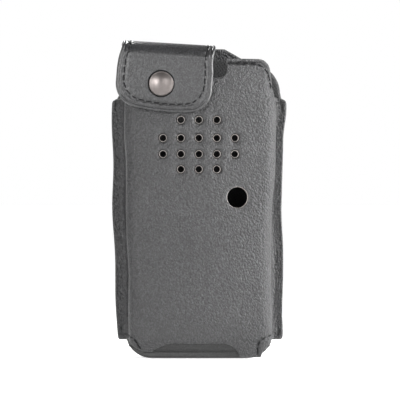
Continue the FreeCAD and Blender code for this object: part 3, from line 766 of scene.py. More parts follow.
def fabric_material(name, base, thread_mm=0.55):
    """Woven lining cloth: two crossed sets of threads."""
    material, tree, shader = blank(name)
    count = 1 / (thread_mm * MM)
    diagonal = object_space(tree, (1, 1, 1), (0.5, 0.6, 0.2))
    waves = {"Vector": diagonal, "Scale": count / 6.3, "Distortion": 0.6}
    warp, weft = (add(tree, "ShaderNodeTexWave", waves, bands_direction=way).outputs["Fac"] for way in "XZ")
    weave = math_node(tree, "MAXIMUM", warp, weft)
    fuzz = noise_value(tree, object_space(tree), 900.0, 4.0, 0.7)
    height = math_node(tree, "ADD", weave, math_node(tree, "MULTIPLY", fuzz, 0.6))
    colour = blended(tree, ramp(tree, height, 0.4, 1.4), scaled(base, 0.55), scaled(base, 1.3))
    wired(tree, shader, colour, ramp(tree, fuzz, 0.3, 0.7, 0.8, 0.95), 0.7, 0.00018, height)
    shader.inputs["Sheen Weight"].default_value = 0.25
    return material


def foam_material(name):
    """Open foam with small cells, pale where the punch has cut it and near black beyond that edge, as
    painted shade under the leather round each hole.
    """
    material, tree, shader = blank(name)
    plain = object_space(tree)
    cells = add(tree, "ShaderNodeTexVoronoi", {"Vector": plain, "Scale": 2600.0}).outputs["Distance"]
    haze = noise_value(tree, plain, 300.0)
    rim = add(tree, "ShaderNodeAttribute", attribute_name="rim_mm").outputs["Fac"]
    colour = blended(tree, ramp(tree, cells, 0.1, 0.7), (0.20, 0.185, 0.175), (0.42, 0.39, 0.37))
    # Near black away from the cut edge: painted shade that the leather's thickness casts into each hole.
    colour = blended(tree, ramp(tree, rim, 0.16, 0.34), colour, (0.018, 0.017, 0.016))
    wired(tree, shader, colour, ramp(tree, haze, 0.3, 0.7, 0.8, 0.95), 0.6, 0.0001, cells)
    return material


def board_material(name):
    """Pressed fibre board."""
    material, tree, shader = blank(name)
    fibres = noise_value(tree, object_space(tree, (1.0, 1.0, 0.15)), 1600.0, 5.0, 0.7)
    flecks = noise_value(tree, object_space(tree), 420.0, 3.0)
    colour = blended(tree, ramp(tree, fibres, 0.35, 0.65), (0.060, 0.052, 0.044), (0.13, 0.115, 0.10))
    colour = blended(tree, ramp(tree, flecks, 0.5, 0.8, 0, 0.5), colour, (0.045, 0.04, 0.036))
    wired(tree, shader, colour, ramp(tree, flecks, 0.3, 0.7, 0.75, 0.9), 0.5, 0.0001, fibres)
    return material


def thread_material(name, base):
    """Waxed thread; the twist is in its shape, the fibres are here."""
    material, tree, shader = blank(name)
    fibres = noise_value(tree, object_space(tree, (1, 1, 1), (0.4, 0.3, 0.9)), 5200.0, 3.0, 0.7)
    colour = blended(tree, ramp(tree, fibres, 0.3, 0.7), scaled(base, 0.5), scaled(base, 1.6))
    wired(tree, shader, colour, ramp(tree, fibres, 0.3, 0.7, 0.62, 0.82), 0.5, 0.00005, fibres)
    shader.inputs["Specular IOR Level"].default_value = 0.2
    return material


def metal_material(name, base, tarnish, rough):
    """Plated metal with hairline scratches and a little tarnish."""
    material, tree, shader = blank(name)
    hairs = noise_value(tree, object_space(tree, (1.0, 1.0, 0.06), (0, 0.5, 0)), 5200.0, 4.0, 0.7)
    cloud = noise_value(tree, object_space(tree), 260.0, 4.0, 0.6)
    colour = blended(tree, ramp(tree, cloud, 0.35, 0.75, 0.0, 0.6), base, tarnish)
    value = math_node(tree, "ADD", ramp(tree, cloud, 0.3, 0.7, rough - 0.04, rough + 0.08),
                      ramp(tree, hairs, 0.45, 0.75, 0.0, 0.08))
    wired(tree, shader, colour, value, 0.25, 0.00002, hairs)
    shader.inputs["Metallic"].default_value = 1.0
    return material


LEATHER_LOOK = leather_material("pebbled_leather", (0.019, 0.019, 0.020), (0.060, 0.060, 0.060))
STRAP_LOOK = leather_material("strap_leather", (0.017, 0.017, 0.018), (0.085, 0.085, 0.085), grain=1350.0,
                              depth=0.00016, shine=0.34)
THIN_LOOK = leather_material("lining_leather", (0.014, 0.014, 0.014), (0.04, 0.04, 0.04), grain=1400.0,
                             depth=0.00012, shine=0.5)
CLOTH_LOOK = fabric_material("lining_cloth", (0.018, 0.018, 0.0185))
FOAM_LOOK = foam_material("foam_padding")
BOARD_LOOK = board_material("fibre_board")
THREAD_LOOK = thread_material("black_thread", (0.006, 0.006, 0.0065))
# Darker copy of the leather for the floor piece: painted shade for the floor seen dim inside the arch.
SHADED_FOOT_LOOK = leather_material("foot_leather_painted_shade", (0.009, 0.009, 0.009), (0.030, 0.030, 0.030), grain=1400.0,
                             depth=0.00010, shine=0.55)
NICKEL_LOOK = metal_material("nickel_plate", (0.150, 0.135, 0.130), (0.090, 0.078, 0.075), 0.34)
SPRING_LOOK = metal_material("spring_steel", (0.52, 0.52, 0.53), (0.35, 0.34, 0.33), 0.3)


def finish_piece(piece, body, slot, *nodes):
    """Rides on a body unless that is None, and hides the CAD nodes that it stands for; slot is not used."""
    if body is not None:
        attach(piece, body)
    if nodes:
        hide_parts(*nodes)
    return piece


# ---- front of the pouch ----

def top_lines(inset):
    """Lines along the top edge on both sides of the notch, which was cut through the hem."""
    steps = top_steps(inset)
    left = trace(steps[0], *steps[1:3], (NOTCH_LEFT, steps[3][1]))
    right = trace((NOTCH_RIGHT, steps[8][1]), *steps[9:])
    return [left, right]


FRONT_MARKS = [mark for line in top_lines(TOP_HEM) for mark in even_marks(line, STITCH_PITCH, 2.7, 0.3)]
TOP_EDGE = np.concatenate(top_lines(0))
LEFT_LEG_MARKS = marks_along((-38.4, 10.6), (-33.4, 10.0), (-31.2, 8.2), (-28.0, 3.8))
RIGHT_LEG_MARKS = marks_along((36.4, 10.6), (32.0, 10.2), (27.6, 7.2), (27.6, 1.0))


def gusset_marks():
    """Stitches across the top and the foot of both gussets."""
    ends = (((S_CORNER + 2.5, GUSSET_TOP_FRONT - HEM), (S_WALL, GUSSET_TOP_WALL - HEM)),
            ((S_CORNER + 3.5, GUSSET_FOOT + HEM), (S_WALL, GUSSET_FOOT + HEM)))
    return [marks_along((side * front[0], front[1]), (side * back[0], back[1]))
            for side in (-1, 1) for front, back in ends]


def seam_marks(distance):
    """Stitches down the left and the right side seam, at a distance from the middle."""
    low, high = GUSSET_FOOT + HEM, GUSSET_TOP_BACK - HEM - 1
    return [marks_along((side * distance, low), (side * distance, high)) for side in (-1, 1)]


GUSSET_MARKS = gusset_marks()
LIP_MARKS = seam_marks(S_LIP - LIP_HEM)


def shell_relief(u, v, d):
    """Pressed hems, creases in the legs, stitch pits, rims of the holes and the stud's seat."""
    run = np.abs(u)
    on_top = smooth(v, 119, 124) * (1 - smooth(run, S_CORNER - 1.0, S_CORNER + 1.0))
    top = line_distance(np.stack([u, v], axis=1), TOP_EDGE)
    on_gusset = smooth(run, S_CORNER + 0.5, S_CORNER + 3) * (1 - smooth(run, S_LIP - 1.5, S_LIP))
    gusset_ends = on_gusset * np.maximum(smooth(v, 112, 116), 1 - smooth(v, 12, 16))
    low = (1 - smooth(v, 9, 12)) * (1 - smooth(run, S_CORNER, S_CORNER + 2))
    legs = low * smooth(run, 24, 27)
    shape = on_top * (sewn_edge(top, TOP_HEM, 0.22, 0.0, 0.30) + 0.40 * (1 - smooth(top, 2.2, 3.6)))
    shape = shape + gusset_ends * (0.45 * bump(d, HEM, 0.45) - 0.22 * bump(d, 1.0, 0.8))
    crease_left = bump(u + 0.62 * (v - 4.0), -28.6, 0.42) * low * (u < -26)
    crease_right = bump(u, 27.5, 0.34) * (1 - smooth(v, 6.6, 8.0)) * (u > 20)
    slant = bump(v - 0.55 * (u - 27.6), 6.8, 0.6) * smooth(u, 26.6, 28) * (1 - smooth(u, 35.4, 38))
    shape = shape + 0.6 * (crease_left + crease_right + slant * (v < 12.5))
    shape = shape - 0.35 * bump(v, 9.4, 1.2) * bump(run, 34.6, 1.8) * (u > 0)
    shape = shape - 0.10 * legs * (1 - smooth(d, 0.5, 1.2))
    for marks in [FRONT_MARKS, LEFT_LEG_MARKS, RIGHT_LEG_MARKS] + GUSSET_MARKS:
        shape = shape + pits(u, v, marks)
    for marks in LIP_MARKS:
        shape = shape + pits(u, v, marks, 0.18, 0.32)
    for hole in speaker_holes(SPEAKER_RADIUS):
        middle = hole.mean(0)
        r = np.hypot(u - middle[0], v - middle[1])
        shape = shape + 0.30 * (1 - smooth(r, SPEAKER_RADIUS + 0.1, SPEAKER_RADIUS + 0.9)) * (r < 5)
    r = np.hypot(u - run_of(CONTROL[0]), v - CONTROL[1])
    shape = shape + 0.28 * (1 - smooth(r, CONTROL_RADIUS, CONTROL_RADIUS + 2.2))
    r = np.hypot(u - run_of(SNAP[0]), v - SNAP[1])
    seat = SEAT_DEPTH * (1 - smooth(r, STUD_RADIUS + 0.2, STUD_RADIUS + 1.2))
    return np.maximum(shape, seat)


def make_front():
    loops = [shell_outline()] + punched(-SPEAKER_RIM)
    shell = sheet("front_shell_leather", loops, POCKET, 0.0, LEATHER, LEATHER_LOOK, shell_relief,
                  grid=1.7, rim_rings=(0.12, 0.35, 0.7, 1.1, 1.5, 1.95, 2.4, 2.85, 3.4, 4.1),
                  hole_rings=(0.15, 0.4, 0.8))
    finish_piece(shell, "pouch", "leather", "front_shell")


def inner_outline(hem, reach):
    """Flat cut of a layer inside the leather."""
    foot = GUSSET_FOOT + hem
    return closed(
        (-reach, foot), (-reach, GUSSET_TOP_WALL - hem), (-S_CORNER - 1.2, GUSSET_TOP_FRONT - hem),
        *top_steps(hem),
        (S_CORNER + 1.2, GUSSET_TOP_FRONT - hem), (reach, GUSSET_TOP_WALL - hem), (reach, foot))


def make_front_layers():
    foam_depth = LEATHER + GAP
    foam = sheet("front_padding_foam", [inner_outline(3.2, S_WALL - 1.0)] + punched(FOAM_STEP),
                 POCKET_INSIDE, foam_depth, foam_depth + FOAM - 2 * GAP, FOAM_LOOK, grid=2.4,
                 rim_rings=(0.3, 1.0), hole_rings=(0.12, 0.24, 0.36, 0.6))
    finish_piece(foam, "pouch", "foam", "front_padding")
    cloth_depth = LEATHER + FOAM + GAP
    cut = inner_outline(0.8, S_BACK - 0.2)
    cloth = sheet("front_lining_cloth", [cut] + punched(FOAM_STEP), POCKET_INSIDE, cloth_depth,
                  cloth_depth + LINING - 2 * GAP, CLOTH_LOOK, grid=2.4, rim_rings=(0.2, 0.8),
                  hole_rings=(0.2, 0.6))
    finish_piece(cloth, "pouch", "lining", "front_lining")
    declare_cloth(cut, punched(FOAM_STEP))


def declare_cloth(cut, holes):
    """Works out how large the lining was cut; the area is not kept or shown."""
    area = abs(signed_area(cut)) - sum(abs(signed_area(hole)) for hole in holes)


# ---- foot ----

def floor_base(u, v):
    """Scoop: u runs across it, v from the back seam to the toe and up behind the front."""
    half = FOOT_HALF_WIDTH - 3.0
    curl = 13.0
    bend = 1.5
    roll = ROLL_RADIUS - LEATHER - 0.1
    nested = 2.0
    soft = 3.5
    side = np.sign(u)
    out = np.maximum(np.abs(u) - half, 0)
    angle = np.minimum(out / curl, 1.1)
    x = np.where(out > 0, half + curl * np.sin(angle) * 0.98, np.abs(u))
    lift_x = curl * (1 - np.cos(angle))
    toe = Y_FRONT + ROLL_RADIUS - math.sqrt(roll ** 2 - (ROLL_START - nested) ** 2)
    flat = Y_SEAM - v
    turn = np.clip((toe - flat) / bend + 1.0, 0, math.pi / 2)
    past = np.maximum((toe - flat) / bend + 1.0 - math.pi / 2, 0) * bend
    lift_y = bend * (1 - np.cos(turn)) + past
    y = np.where(turn > 0, toe + bend - bend * np.sin(turn), flat)
    rise = np.clip(lift_y, nested, FLOOR_TOP)
    nest = Y_FRONT + ROLL_RADIUS - np.sqrt(roll ** 2 - (ROLL_START - rise) ** 2)
    y = y + (nest - toe) * (turn >= math.pi / 2)
    crown = CROWN_RADIUS - np.sqrt(CROWN_RADIUS ** 2 - x ** 2)
    reach = np.maximum(x - CORNER_X, 0)
    corner = soft - np.sqrt(soft ** 2 - np.minimum(reach, soft - 0.1) ** 2)
    y = y + (crown + corner) * (1 - smooth(flat, toe + 2.0, toe + 16.0))
    a = np.clip(lift_x / FLOOR_TOP, 0, 1)
    b = np.clip(lift_y / FLOOR_TOP, 0, 1)
    z = FLOOR_TOP * (1 - (1 - a) * (1 - b))
    return np.stack([side * x, y, z], axis=1)


def floor_relief(u, v, d):
    """A ridge and a groove along the toe, which show in the arch, and a line pressed round the rim."""
    toe_v = Y_SEAM - (Y_FRONT + 5.2)
    toe = 0.95 * bump(v, toe_v + 0.5, 0.5) - 0.30 * bump(v, toe_v - 0.8, 0.7)
    return toe + 0.12 * bump(d, 2.0, 0.5)


def make_floor():
    half = FOOT_HALF_WIDTH + 10.2
    length = Y_SEAM - Y_FRONT + 1.5
    corner = 5.0
    soft = 1.4
    cut = closed((-half, 0.1), (half, 0.1), (half, length - corner),
                 ((half - soft, length - soft), (half - corner, length)), (-half + corner, length),
                 ((-half + soft, length - soft), (-half, length - corner)))
    floor = sheet("floor_panel_leather", [cut], offset_place(floor_base), 0.0, LEATHER, SHADED_FOOT_LOOK,
                  floor_relief, grid=0.9, rim_rings=(0.2, 0.6, 1.1, 1.6, 2.1))
    finish_piece(floor, "pouch", "leather", "floor_panel")


# ---- back of the pouch ----

def back_base(x, z):
    """Outside of the back, seen from behind: u runs to the left there."""
    x = -x
    pull = seam_shift(x, z) * smooth(np.abs(x), 34.2, 39.0) * (1 - smooth(z, 120.5, 124))
    y = np.full(len(x), Y_BACK) - 0.10 * np.sin(x / 13.0 + z / 19.0) ** 2
    return np.stack([x - np.sign(x) * pull, y, z], axis=1)


BACK = offset_place(back_base)


def back_outline(inset, cap=BACK_TOP):
    """The back seen from behind, moved in by inset and cut level at cap."""
    seam = SEAM_X - inset
    top = min(BACK_TOP - inset, cap)
    foot = inset
    low = GUSSET_FOOT - 0.4 + inset
    half = FOOT_HALF_WIDTH
    points = [
        (half, foot), (-half, foot), ((-31.2 + inset / 2, 2.6 + inset / 2), (-34.0 + inset / 2, low)),
        (-seam + 1.5, low), ((-seam + 0.4, low + 0.4), (-seam, low + 1.5)),
        (-seam, 117.4), ((-seam + 0.62, 119.3), (-seam + 2.2, 120.6)),
        (-37.9 + inset, 123.4), ((-36.4 + inset, 129.2), (-33.2 + inset, 133.4)),
    ]
    if cap < BACK_TOP:
        points += [(-22.8 + inset, cap), (34.4 - inset, cap), (37.6 - inset, 122.6)]
    else:
        points += [
            (-19.6, 139.4 - inset), ((-15.0, 142.0 - inset), (-11.8, top)),
            (31.4, top), ((34.4 - inset / 2, top - 1.3), (35.6 - inset, top - 4.4)),
            (37.6 - inset, 122.6),
        ]
    points += [
        (seam - 2.2, 120.6), ((seam - 0.62, 119.3), (seam, 117.4)),
        (seam, low + 1.5), ((seam - 0.4, low + 0.4), (seam - 1.5, low)),
        (34.0 - inset / 2, low), ((31.2 - inset / 2, 2.6 + inset / 2), (half, foot)),
    ]
    return closed(points[0], *points[1:])


BACK_SEAM_MARKS = seam_marks(SEAM_X - HEM)
BACK_TOP_MARKS = marks_along((-9.0, BACK_TOP - HEM), (-11.2, BACK_TOP - HEM),
                             ((-15.4, 139.4), (-19.4, 136.9)), (-31.8, SHOULDER_Z),
                             ((-34.3, 128.2), (-35.4, 123.4)))
BOARD_STEP = BOARD - 0.1


def back_step(d):
    """The leather drops off the board's edge to the sewn margin."""
    return BOARD_STEP * (1 - smooth(d, 1.1, 3.0))


def back_relief(u, v, d):
    """The step round the board, the sewn edge and the needle pits."""
    shape = back_step(d) + sewn_edge(d, HEM, 0.08, 0.10, 0.10)
    for marks in BACK_SEAM_MARKS + [BACK_TOP_MARKS]:
        shape = shape + pits(u, v, marks, 0.3)
    return shape


def back_under(u, v, d):
    """Inner face of the back: it follows the outer one, with a folded hem at the top."""
    hem = smooth(v, 120, 124)
    return -back_step(d) * (1 - 0.999 * hem) + hem * (sewn_edge(d, HEM, 0.12, 0.2, 0.16) - 0.02)


def make_back():
    leather = sheet("back_panel_leather", [back_outline(0)], BACK, 0.0, LEATHER, LEATHER_LOOK, back_relief,
                    back_under, grid=2.0, rim_rings=(0.12, 0.35, 0.7, 1.1, 1.5, 1.9, 2.4, 2.9, 3.5),
                    turned=lambda v: smooth(v, 118, 121))
    finish_piece(leather, "pouch", "leather", "back_panel")
    cut = back_outline(0.8, 138.4)
    depth = Y_BACK - (Y_SEAM + GAP) - LINING
    cloth = sheet("back_lining_cloth", [cut], BACK, depth, depth + LINING - GAP, CLOTH_LOOK, grid=2.6,
                  rim_rings=(0.2, 0.8))
    finish_piece(cloth, "pouch", "lining", "back_lining")
    declare_cloth(cut, [])


# ---- belt loop ----

def ribbon(corners, radius):
    """A line of straight runs joined by arcs, sampled closely: its runs and its points."""
    points = [np.array(corners[0], float)]
    for number in range(1, len(corners) - 1):
        a, b, c = (np.array(corners[number + k], float) for k in (-1, 0, 1))
        before = (b - a) / np.linalg.norm(b - a)
        after = (c - b) / np.linalg.norm(c - b)
        turn = math.acos(np.clip(before @ after, -1, 1))
        back = radius * math.tan(turn / 2)
        start = b - before * back
        side = after - before * (before @ after)
        side /= np.linalg.norm(side)
        centre = start + side * radius
        for t in np.linspace(0, turn, 13):
            points.append(centre - side * radius * math.cos(t) + before * radius * math.sin(t))
    points.append(np.array(corners[-1], float))
    points = np.array(points)
    return run_along(points), points


LOOP_FACE = Y_BACK + GAP + LOOP_THICK
LOOP_RUN, LOOP_LINE = ribbon([
    (LOOP_FACE, LOOP_FOOT),
    (LOOP_FACE, LOOP_FOOT + LOOP_TAB),
    (LOOP_FACE + LOOP_SPACE, LOOP_FOOT + LOOP_TAB + LOOP_SLANT),
    (LOOP_FACE + LOOP_SPACE, LOOP_TOP - LOOP_TAB - LOOP_SLANT),
    (LOOP_FACE, LOOP_TOP - LOOP_TAB),
    (LOOP_FACE, LOOP_TOP),
], 4.0)


def loop_base(u, v):
    """Outer face of the belt loop: u runs across it, v up along its line."""
    y = np.interp(v, LOOP_RUN, LOOP_LINE[:, 0])
    z = np.interp(v, LOOP_RUN, LOOP_LINE[:, 1])
    z = z + np.where(v < 0, v, 0) + np.where(v > LOOP_RUN[-1], v - LOOP_RUN[-1], 0)
    return np.stack([-u, y, z], axis=1)


LOOP = offset_place(loop_base, 0.12)


def loop_outline(inset):
    wide = LOOP_HALF_WIDTH - inset
    foot = inset
    top = LOOP_RUN[-1] - inset
    soft = 1.5
    cut = 0.4
    return closed((-wide + soft, foot), (wide - soft, foot), ((wide - cut, foot + cut), (wide, foot + soft)),
                  (wide, top - soft), ((wide - cut, top - cut), (wide - soft, top)), (-wide + soft, top),
                  ((-wide + cut, top - cut), (-wide, top - soft)), (-wide, foot + soft),
                  ((-wide + cut, foot + cut), (-wide + soft, foot)))


def loop_marks():
    """Stitches in a box round both tabs of the belt loop."""
    wide = LOOP_HALF_WIDTH - HEM
    marks = []
    for low, high in ((HEM, LOOP_TAB - 1.2), (LOOP_RUN[-1] - LOOP_TAB + 1.2, LOOP_RUN[-1] - HEM)):
        for a, b in (((-wide, low), (wide, low)), ((-wide, high), (wide, high)),
                     ((-wide, low), (-wide, high)), ((wide, low), (wide, high))):
            marks += marks_along(a, b)
    return marks


LOOP_MARKS = loop_marks()


def make_belt_loop():
    def relief(u, v, d):
        return sewn_edge(d, HEM, 0.1, 0.14, 0.12) + pits(u, v, LOOP_MARKS, 0.35)
    outer = sheet("belt_loop_leather", [loop_outline(0)], LOOP, 0.0, LOOP_LEATHER, LEATHER_LOOK, relief,
                  grid=1.8, rim_rings=(0.15, 0.4, 0.8, 1.2, 1.6, 2.1, 2.7, 3.3))
    finish_piece(outer, "pouch", "leather", "belt_loop")
    inner = sheet("belt_loop_inner", [loop_outline(0.15)], LOOP, LOOP_LEATHER + GAP, LOOP_THICK, THIN_LOOK,
                  grid=2.2, rim_rings=(0.2, 0.6))
    finish_piece(inner, "pouch", "lining_leather", "belt_loop_lining")
    threads = stitch_row("belt_loop_thread", [(LOOP_MARKS, LOOP, 0.06)], THREAD_LOOK)
    finish_piece(threads, "pouch", "thread", "belt_loop_stitching")


# ---- closing strap ----
# Flat cut: u across the strap, v along its outer face from the foot of the root to the tip.

QUARTER = BEND_RADIUS * math.pi / 2
V_REAR = ROOT_LENGTH - BEND_RADIUS
V_BRIDGE = V_REAR + QUARTER
V_FRONT = V_BRIDGE + (ROOT_Y - BEND_RADIUS) - (TONGUE_Y + BEND_RADIUS)
V_TONGUE = V_FRONT + QUARTER
V_TIP = V_TONGUE + TONGUE_LENGTH - BEND_RADIUS
V_SPLIT = (V_BRIDGE + V_FRONT) / 2


def tilted(x, y, z):
    """From the level strap to its place over the mouth."""
    c, s = math.cos(STRAP_TILT), math.sin(STRAP_TILT)
    return np.stack([STRAP_X + x * c + z * s, y, STRAP_TOP - x * s + z * c], axis=1)


def strap_base(u, v):
    """Outer face of the closed strap: up the back, over the mouth and down the front."""
    rear = np.clip((v - V_REAR) / BEND_RADIUS, 0, math.pi / 2)
    front = np.clip((v - V_FRONT) / BEND_RADIUS, 0, math.pi / 2)
    level = np.clip(v, V_BRIDGE, V_FRONT) - V_BRIDGE
    down = np.maximum(v - V_TONGUE, 0)
    y = ROOT_Y - BEND_RADIUS * (1 - np.cos(rear)) - level - BEND_RADIUS * np.sin(front)
    z = -ROOT_LENGTH + np.minimum(v, V_REAR) + BEND_RADIUS * np.sin(rear)
    z = z - BEND_RADIUS * (1 - np.cos(front)) - down
    lean = STRAP_LEAN * smooth(v, V_BRIDGE, V_FRONT + 2) * (1 - smooth(v, V_FRONT + 3, V_TONGUE + 3))
    return tilted(lean - u, y, z)


STRAP = offset_place(strap_base)


def strap_outline(inset, low=None, high=None):
    """The strap's cut, or its part above low or below high. The tongue's tip is a little askew."""
    foot = inset
    tip = V_TIP - inset
    root = ROOT_HALF_WIDTH - inset
    wide = STRAP_HALF_WIDTH - inset
    tongue = TONGUE_HALF_WIDTH - inset
    corner = ROOT_CORNER - inset * 0.6
    soft = corner * (1 - math.sqrt(0.5))
    round_off = TONGUE_CORNER - inset * 0.5
    sweep = round_off * 0.27
    widest = V_TONGUE + 6.5
    taper = ROOT_LENGTH - ROOT_TAPER
    rear_end = [((root - soft, foot + soft), (root, foot + corner)), (wide, taper)]
    rear_start = [(-wide, taper), (-root, foot + corner),
                  ((-root + soft, foot + soft), (-root + corner, foot))]
    front_end = [
        (wide, V_TONGUE - 2),
        (tongue, widest),
        (tongue + 0.1, tip - round_off - 2.4),
        ((tongue - sweep + 0.5, tip - sweep - 2.5), (tongue - round_off + 2.6, tip - 1.7)),
        ((0.0, tip), (-tongue + round_off - 1.4, tip - 0.5)),
        ((-tongue + sweep + 0.2, tip - sweep - 1.0), (-tongue + 0.2, tip - round_off - 1.4)),
        (-tongue, widest),
        (-wide, V_TONGUE - 2),
    ]
    if high is not None:
        return closed((-root + corner, foot), (root - corner, foot), *rear_end, (wide, high), (-wide, high),
                      *rear_start)
    if low is not None:
        return closed((-wide, low), (wide, low), *front_end)
    return closed((-root + corner, foot), (root - corner, foot), *rear_end, *front_end, *rear_start)


STRAP_RIM = strap_outline(0)


def strap_lines():
    """Stitch lines: round the root, along both sides and round the tongue."""
    whole = strap_outline(STRAP_HEM)
    foot_middle = np.argmin(np.abs(whole[:, 0]) + 10 * (whole[:, 1] > STRAP_HEM + 1))
    ring = np.roll(whole, -foot_middle, axis=0)
    return np.concatenate([ring, ring[:1]])


STRAP_MARKS = even_marks(strap_lines(), STITCH_PITCH, STITCH_LENGTH)
CROSS_MARKS = marks_along((-STRAP_HALF_WIDTH + STRAP_HEM + 2, ROOT_LENGTH - ROOT_TAPER),
                          (STRAP_HALF_WIDTH - STRAP_HEM - 2, ROOT_LENGTH - ROOT_TAPER))
REAR_MARKS = [m for m in STRAP_MARKS if max(m[0][1], m[1][1]) < V_SPLIT] + CROSS_MARKS
FRONT_STRAP_MARKS = [m for m in STRAP_MARKS if min(m[0][1], m[1][1]) > V_SPLIT]


def snap_on_strap():
    """The snap's middle in the strap's flat cut."""
    dx, dz = SNAP[0] - STRAP_X, SNAP[1] - STRAP_TOP
    c, s = math.cos(STRAP_TILT), math.sin(STRAP_TILT)
    return -(dx * c - dz * s), V_TONGUE - BEND_RADIUS - (dx * s + dz * c)


SNAP_U, SNAP_V = snap_on_strap()


def strap_relief(u, v, d):
    """Pressed edge, needle pits, the hollow round the cap, and a ridge under the front fold."""
    shape = sewn_edge(d, STRAP_HEM, 0.22, 0.34, 0.34)
    calm = 1 - 0.75 * bump(v, V_TONGUE, 2.5)
    shape = shape + (pits(u, v, STRAP_MARKS) + pits(u, v, CROSS_MARKS)) * calm
    r = np.hypot(u - SNAP_U, v - SNAP_V)
    shape = shape + 1.0 * (1 - smooth(r, CAP_RADIUS - 0.05, CAP_RADIUS + 0.42))
    return shape - 0.32 * bump(v, V_TONGUE - 0.4, 1.6) * smooth(d, 0.4, 3.0)


def local_point(y, z):
    """A point on the strap's middle line, in metres."""
    return tuple(tilted(np.array([0.0]), np.array([y]), np.array([z]))[0] * MM)


REAR_BLEND = (local_point(ROOT_Y, -BEND_RADIUS), local_point(ROOT_Y - BEND_RADIUS, 0.0))
FRONT_BLEND = (local_point(TONGUE_Y + BEND_RADIUS, 0.0), local_point(TONGUE_Y, -BEND_RADIUS))


def finish_half(piece, half, slot, *nodes):
    """Bakes a strap piece's transform into its mesh and finishes it without a body; the fold points are read
    but not used.
    """
    if half == "rear":
        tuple(REAR_BLEND[0])
        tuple(REAR_BLEND[1])
        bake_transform(piece)
    else:
        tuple(FRONT_BLEND[0])
        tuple(FRONT_BLEND[1])
        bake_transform(piece)
    finish_piece(piece, None, slot, *nodes)


def make_strap():
    """Leather, lining and thread, each in a rear and a front half that meet on the bridge."""
    hole = circle(SNAP_U, SNAP_V, BARREL_RADIUS + 0.05)
    halves = (("rear", {"high": V_SPLIT}, [], 1.4), ("front", {"low": V_SPLIT}, [hole], 1.3))
    leather_nodes = {"rear": ["strap_root"], "front": ["bridge_leather", "tongue_leather"]}
    lining_nodes = {"rear": ["strap_root_lining"], "front": ["bridge_lining", "tongue_lining"]}
    rings = (0.15, 0.4, 0.8, 1.15, 1.5, 1.85, 2.4, 3.0, 3.6, 4.2)
    dimple = tuple(CAP_RADIUS - BARREL_RADIUS + step for step in (-2.6, -1.2, -0.3, -0.05, 0.2, 0.42, 0.8))
    for half, part, holes, grid in halves:
        piece = sheet(f"strap_{half}_leather", [strap_outline(0, **part)] + holes, STRAP, 0.0,
                      STRAP_LEATHER, STRAP_LOOK, strap_relief, grid=grid, rim_rings=rings,
                      hole_rings=(0.15, 0.4, *dimple), rim=STRAP_RIM, split=V_SPLIT)
        finish_half(piece, half, "leather", *leather_nodes[half])
    for half, part, holes, grid in halves:
        piece = sheet(f"strap_{half}_lining", [strap_outline(0.12, **part)] + holes, STRAP,
                      STRAP_LEATHER + GAP, STRAP_THICK, THIN_LOOK, grid=1.8, rim_rings=(0.2, 0.6),
                      rim=strap_outline(0.12), split=V_SPLIT)
        finish_half(piece, half, "lining_leather", *lining_nodes[half])
    threads = stitch_row("strap_rear_thread", [(REAR_MARKS, STRAP, 0.06)], THREAD_LOOK)
    finish_half(threads, "rear", "thread", "strap_root_stitching")
    threads = stitch_row("strap_front_thread", [(FRONT_STRAP_MARKS, STRAP, 0.06)], THREAD_LOOK)
    finish_half(threads, "front", "thread", "bridge_stitching", "tongue_stitching")


# ---- snap fastener ----

def lathe(name, profile, material, sides=72):
    """Solid turned about the snap's axis from (radius, y) points, its first and last on the axis."""
    points = [(SNAP[0], profile[0][1], SNAP[1])]
    for radius, y in profile[1:-1]:
        for k in range(sides):
            turn = 2 * math.pi * k / sides
            points.append((SNAP[0] + radius * math.cos(turn), y, SNAP[1] + radius * math.sin(turn)))
    points.append((SNAP[0], profile[-1][1], SNAP[1]))
    faces = [(0, 1 + k, 1 + (k + 1) % sides) for k in range(sides)]
    for row in range(len(profile) - 3):
        a = 1 + row * sides
        for k in range(sides):
            j = (k + 1) % sides
            faces.append((a + k, a + sides + k, a + sides + j, a + j))
    last = 1 + (len(profile) - 3) * sides
    end = len(points) - 1
    faces += [(last + k, end, last + (k + 1) % sides) for k in range(sides)]
    return build(name, points, faces, material)


def make_cap():
    """Domed nickel cap with a rolled rim, its barrel going through the strap."""
    face = TONGUE_Y
    end = face + STRAP_THICK + 0.5
    height = CAP_HEIGHT - 0.55
    edge = CAP_RADIUS - 0.3
    dome = (edge ** 2 + height ** 2) / (2 * height)
    profile = []
    for r in np.linspace(0, edge, 15):
        profile.append((r, face - CAP_HEIGHT + dome - math.sqrt(dome ** 2 - r ** 2)))
    rim_x, rim_y = edge - 0.2, face - 0.32
    for turn in np.radians(np.linspace(-62, 90, 9)):
        profile.append((rim_x + 0.36 * math.cos(turn), rim_y + 0.30 * math.sin(turn)))
    profile += [(edge - 0.7, face + 0.02), (BARREL_RADIUS + 0.3, face - 0.2), (BARREL_RADIUS, face),
                (BARREL_RADIUS, end), (0.0, end)]
    cap = lathe("snap_cap_nickel", profile, NICKEL_LOOK)
    finish_piece(cap, "strap_tongue", "nickel", "snap_cap")


def dress_cad_nodes():
    """CAD pieces whose shape stays, with their materials."""
    looks = {"snap_socket": NICKEL_LOOK, "snap_stud": NICKEL_LOOK, "snap_stud_post": NICKEL_LOOK,
             "snap_spring": SPRING_LOOK, "back_board": BOARD_LOOK}
    for node, look in looks.items():
        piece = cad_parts[node]
        piece.data.materials.clear()
        piece.data.materials.append(look)


# ---- threads of the pouch ----

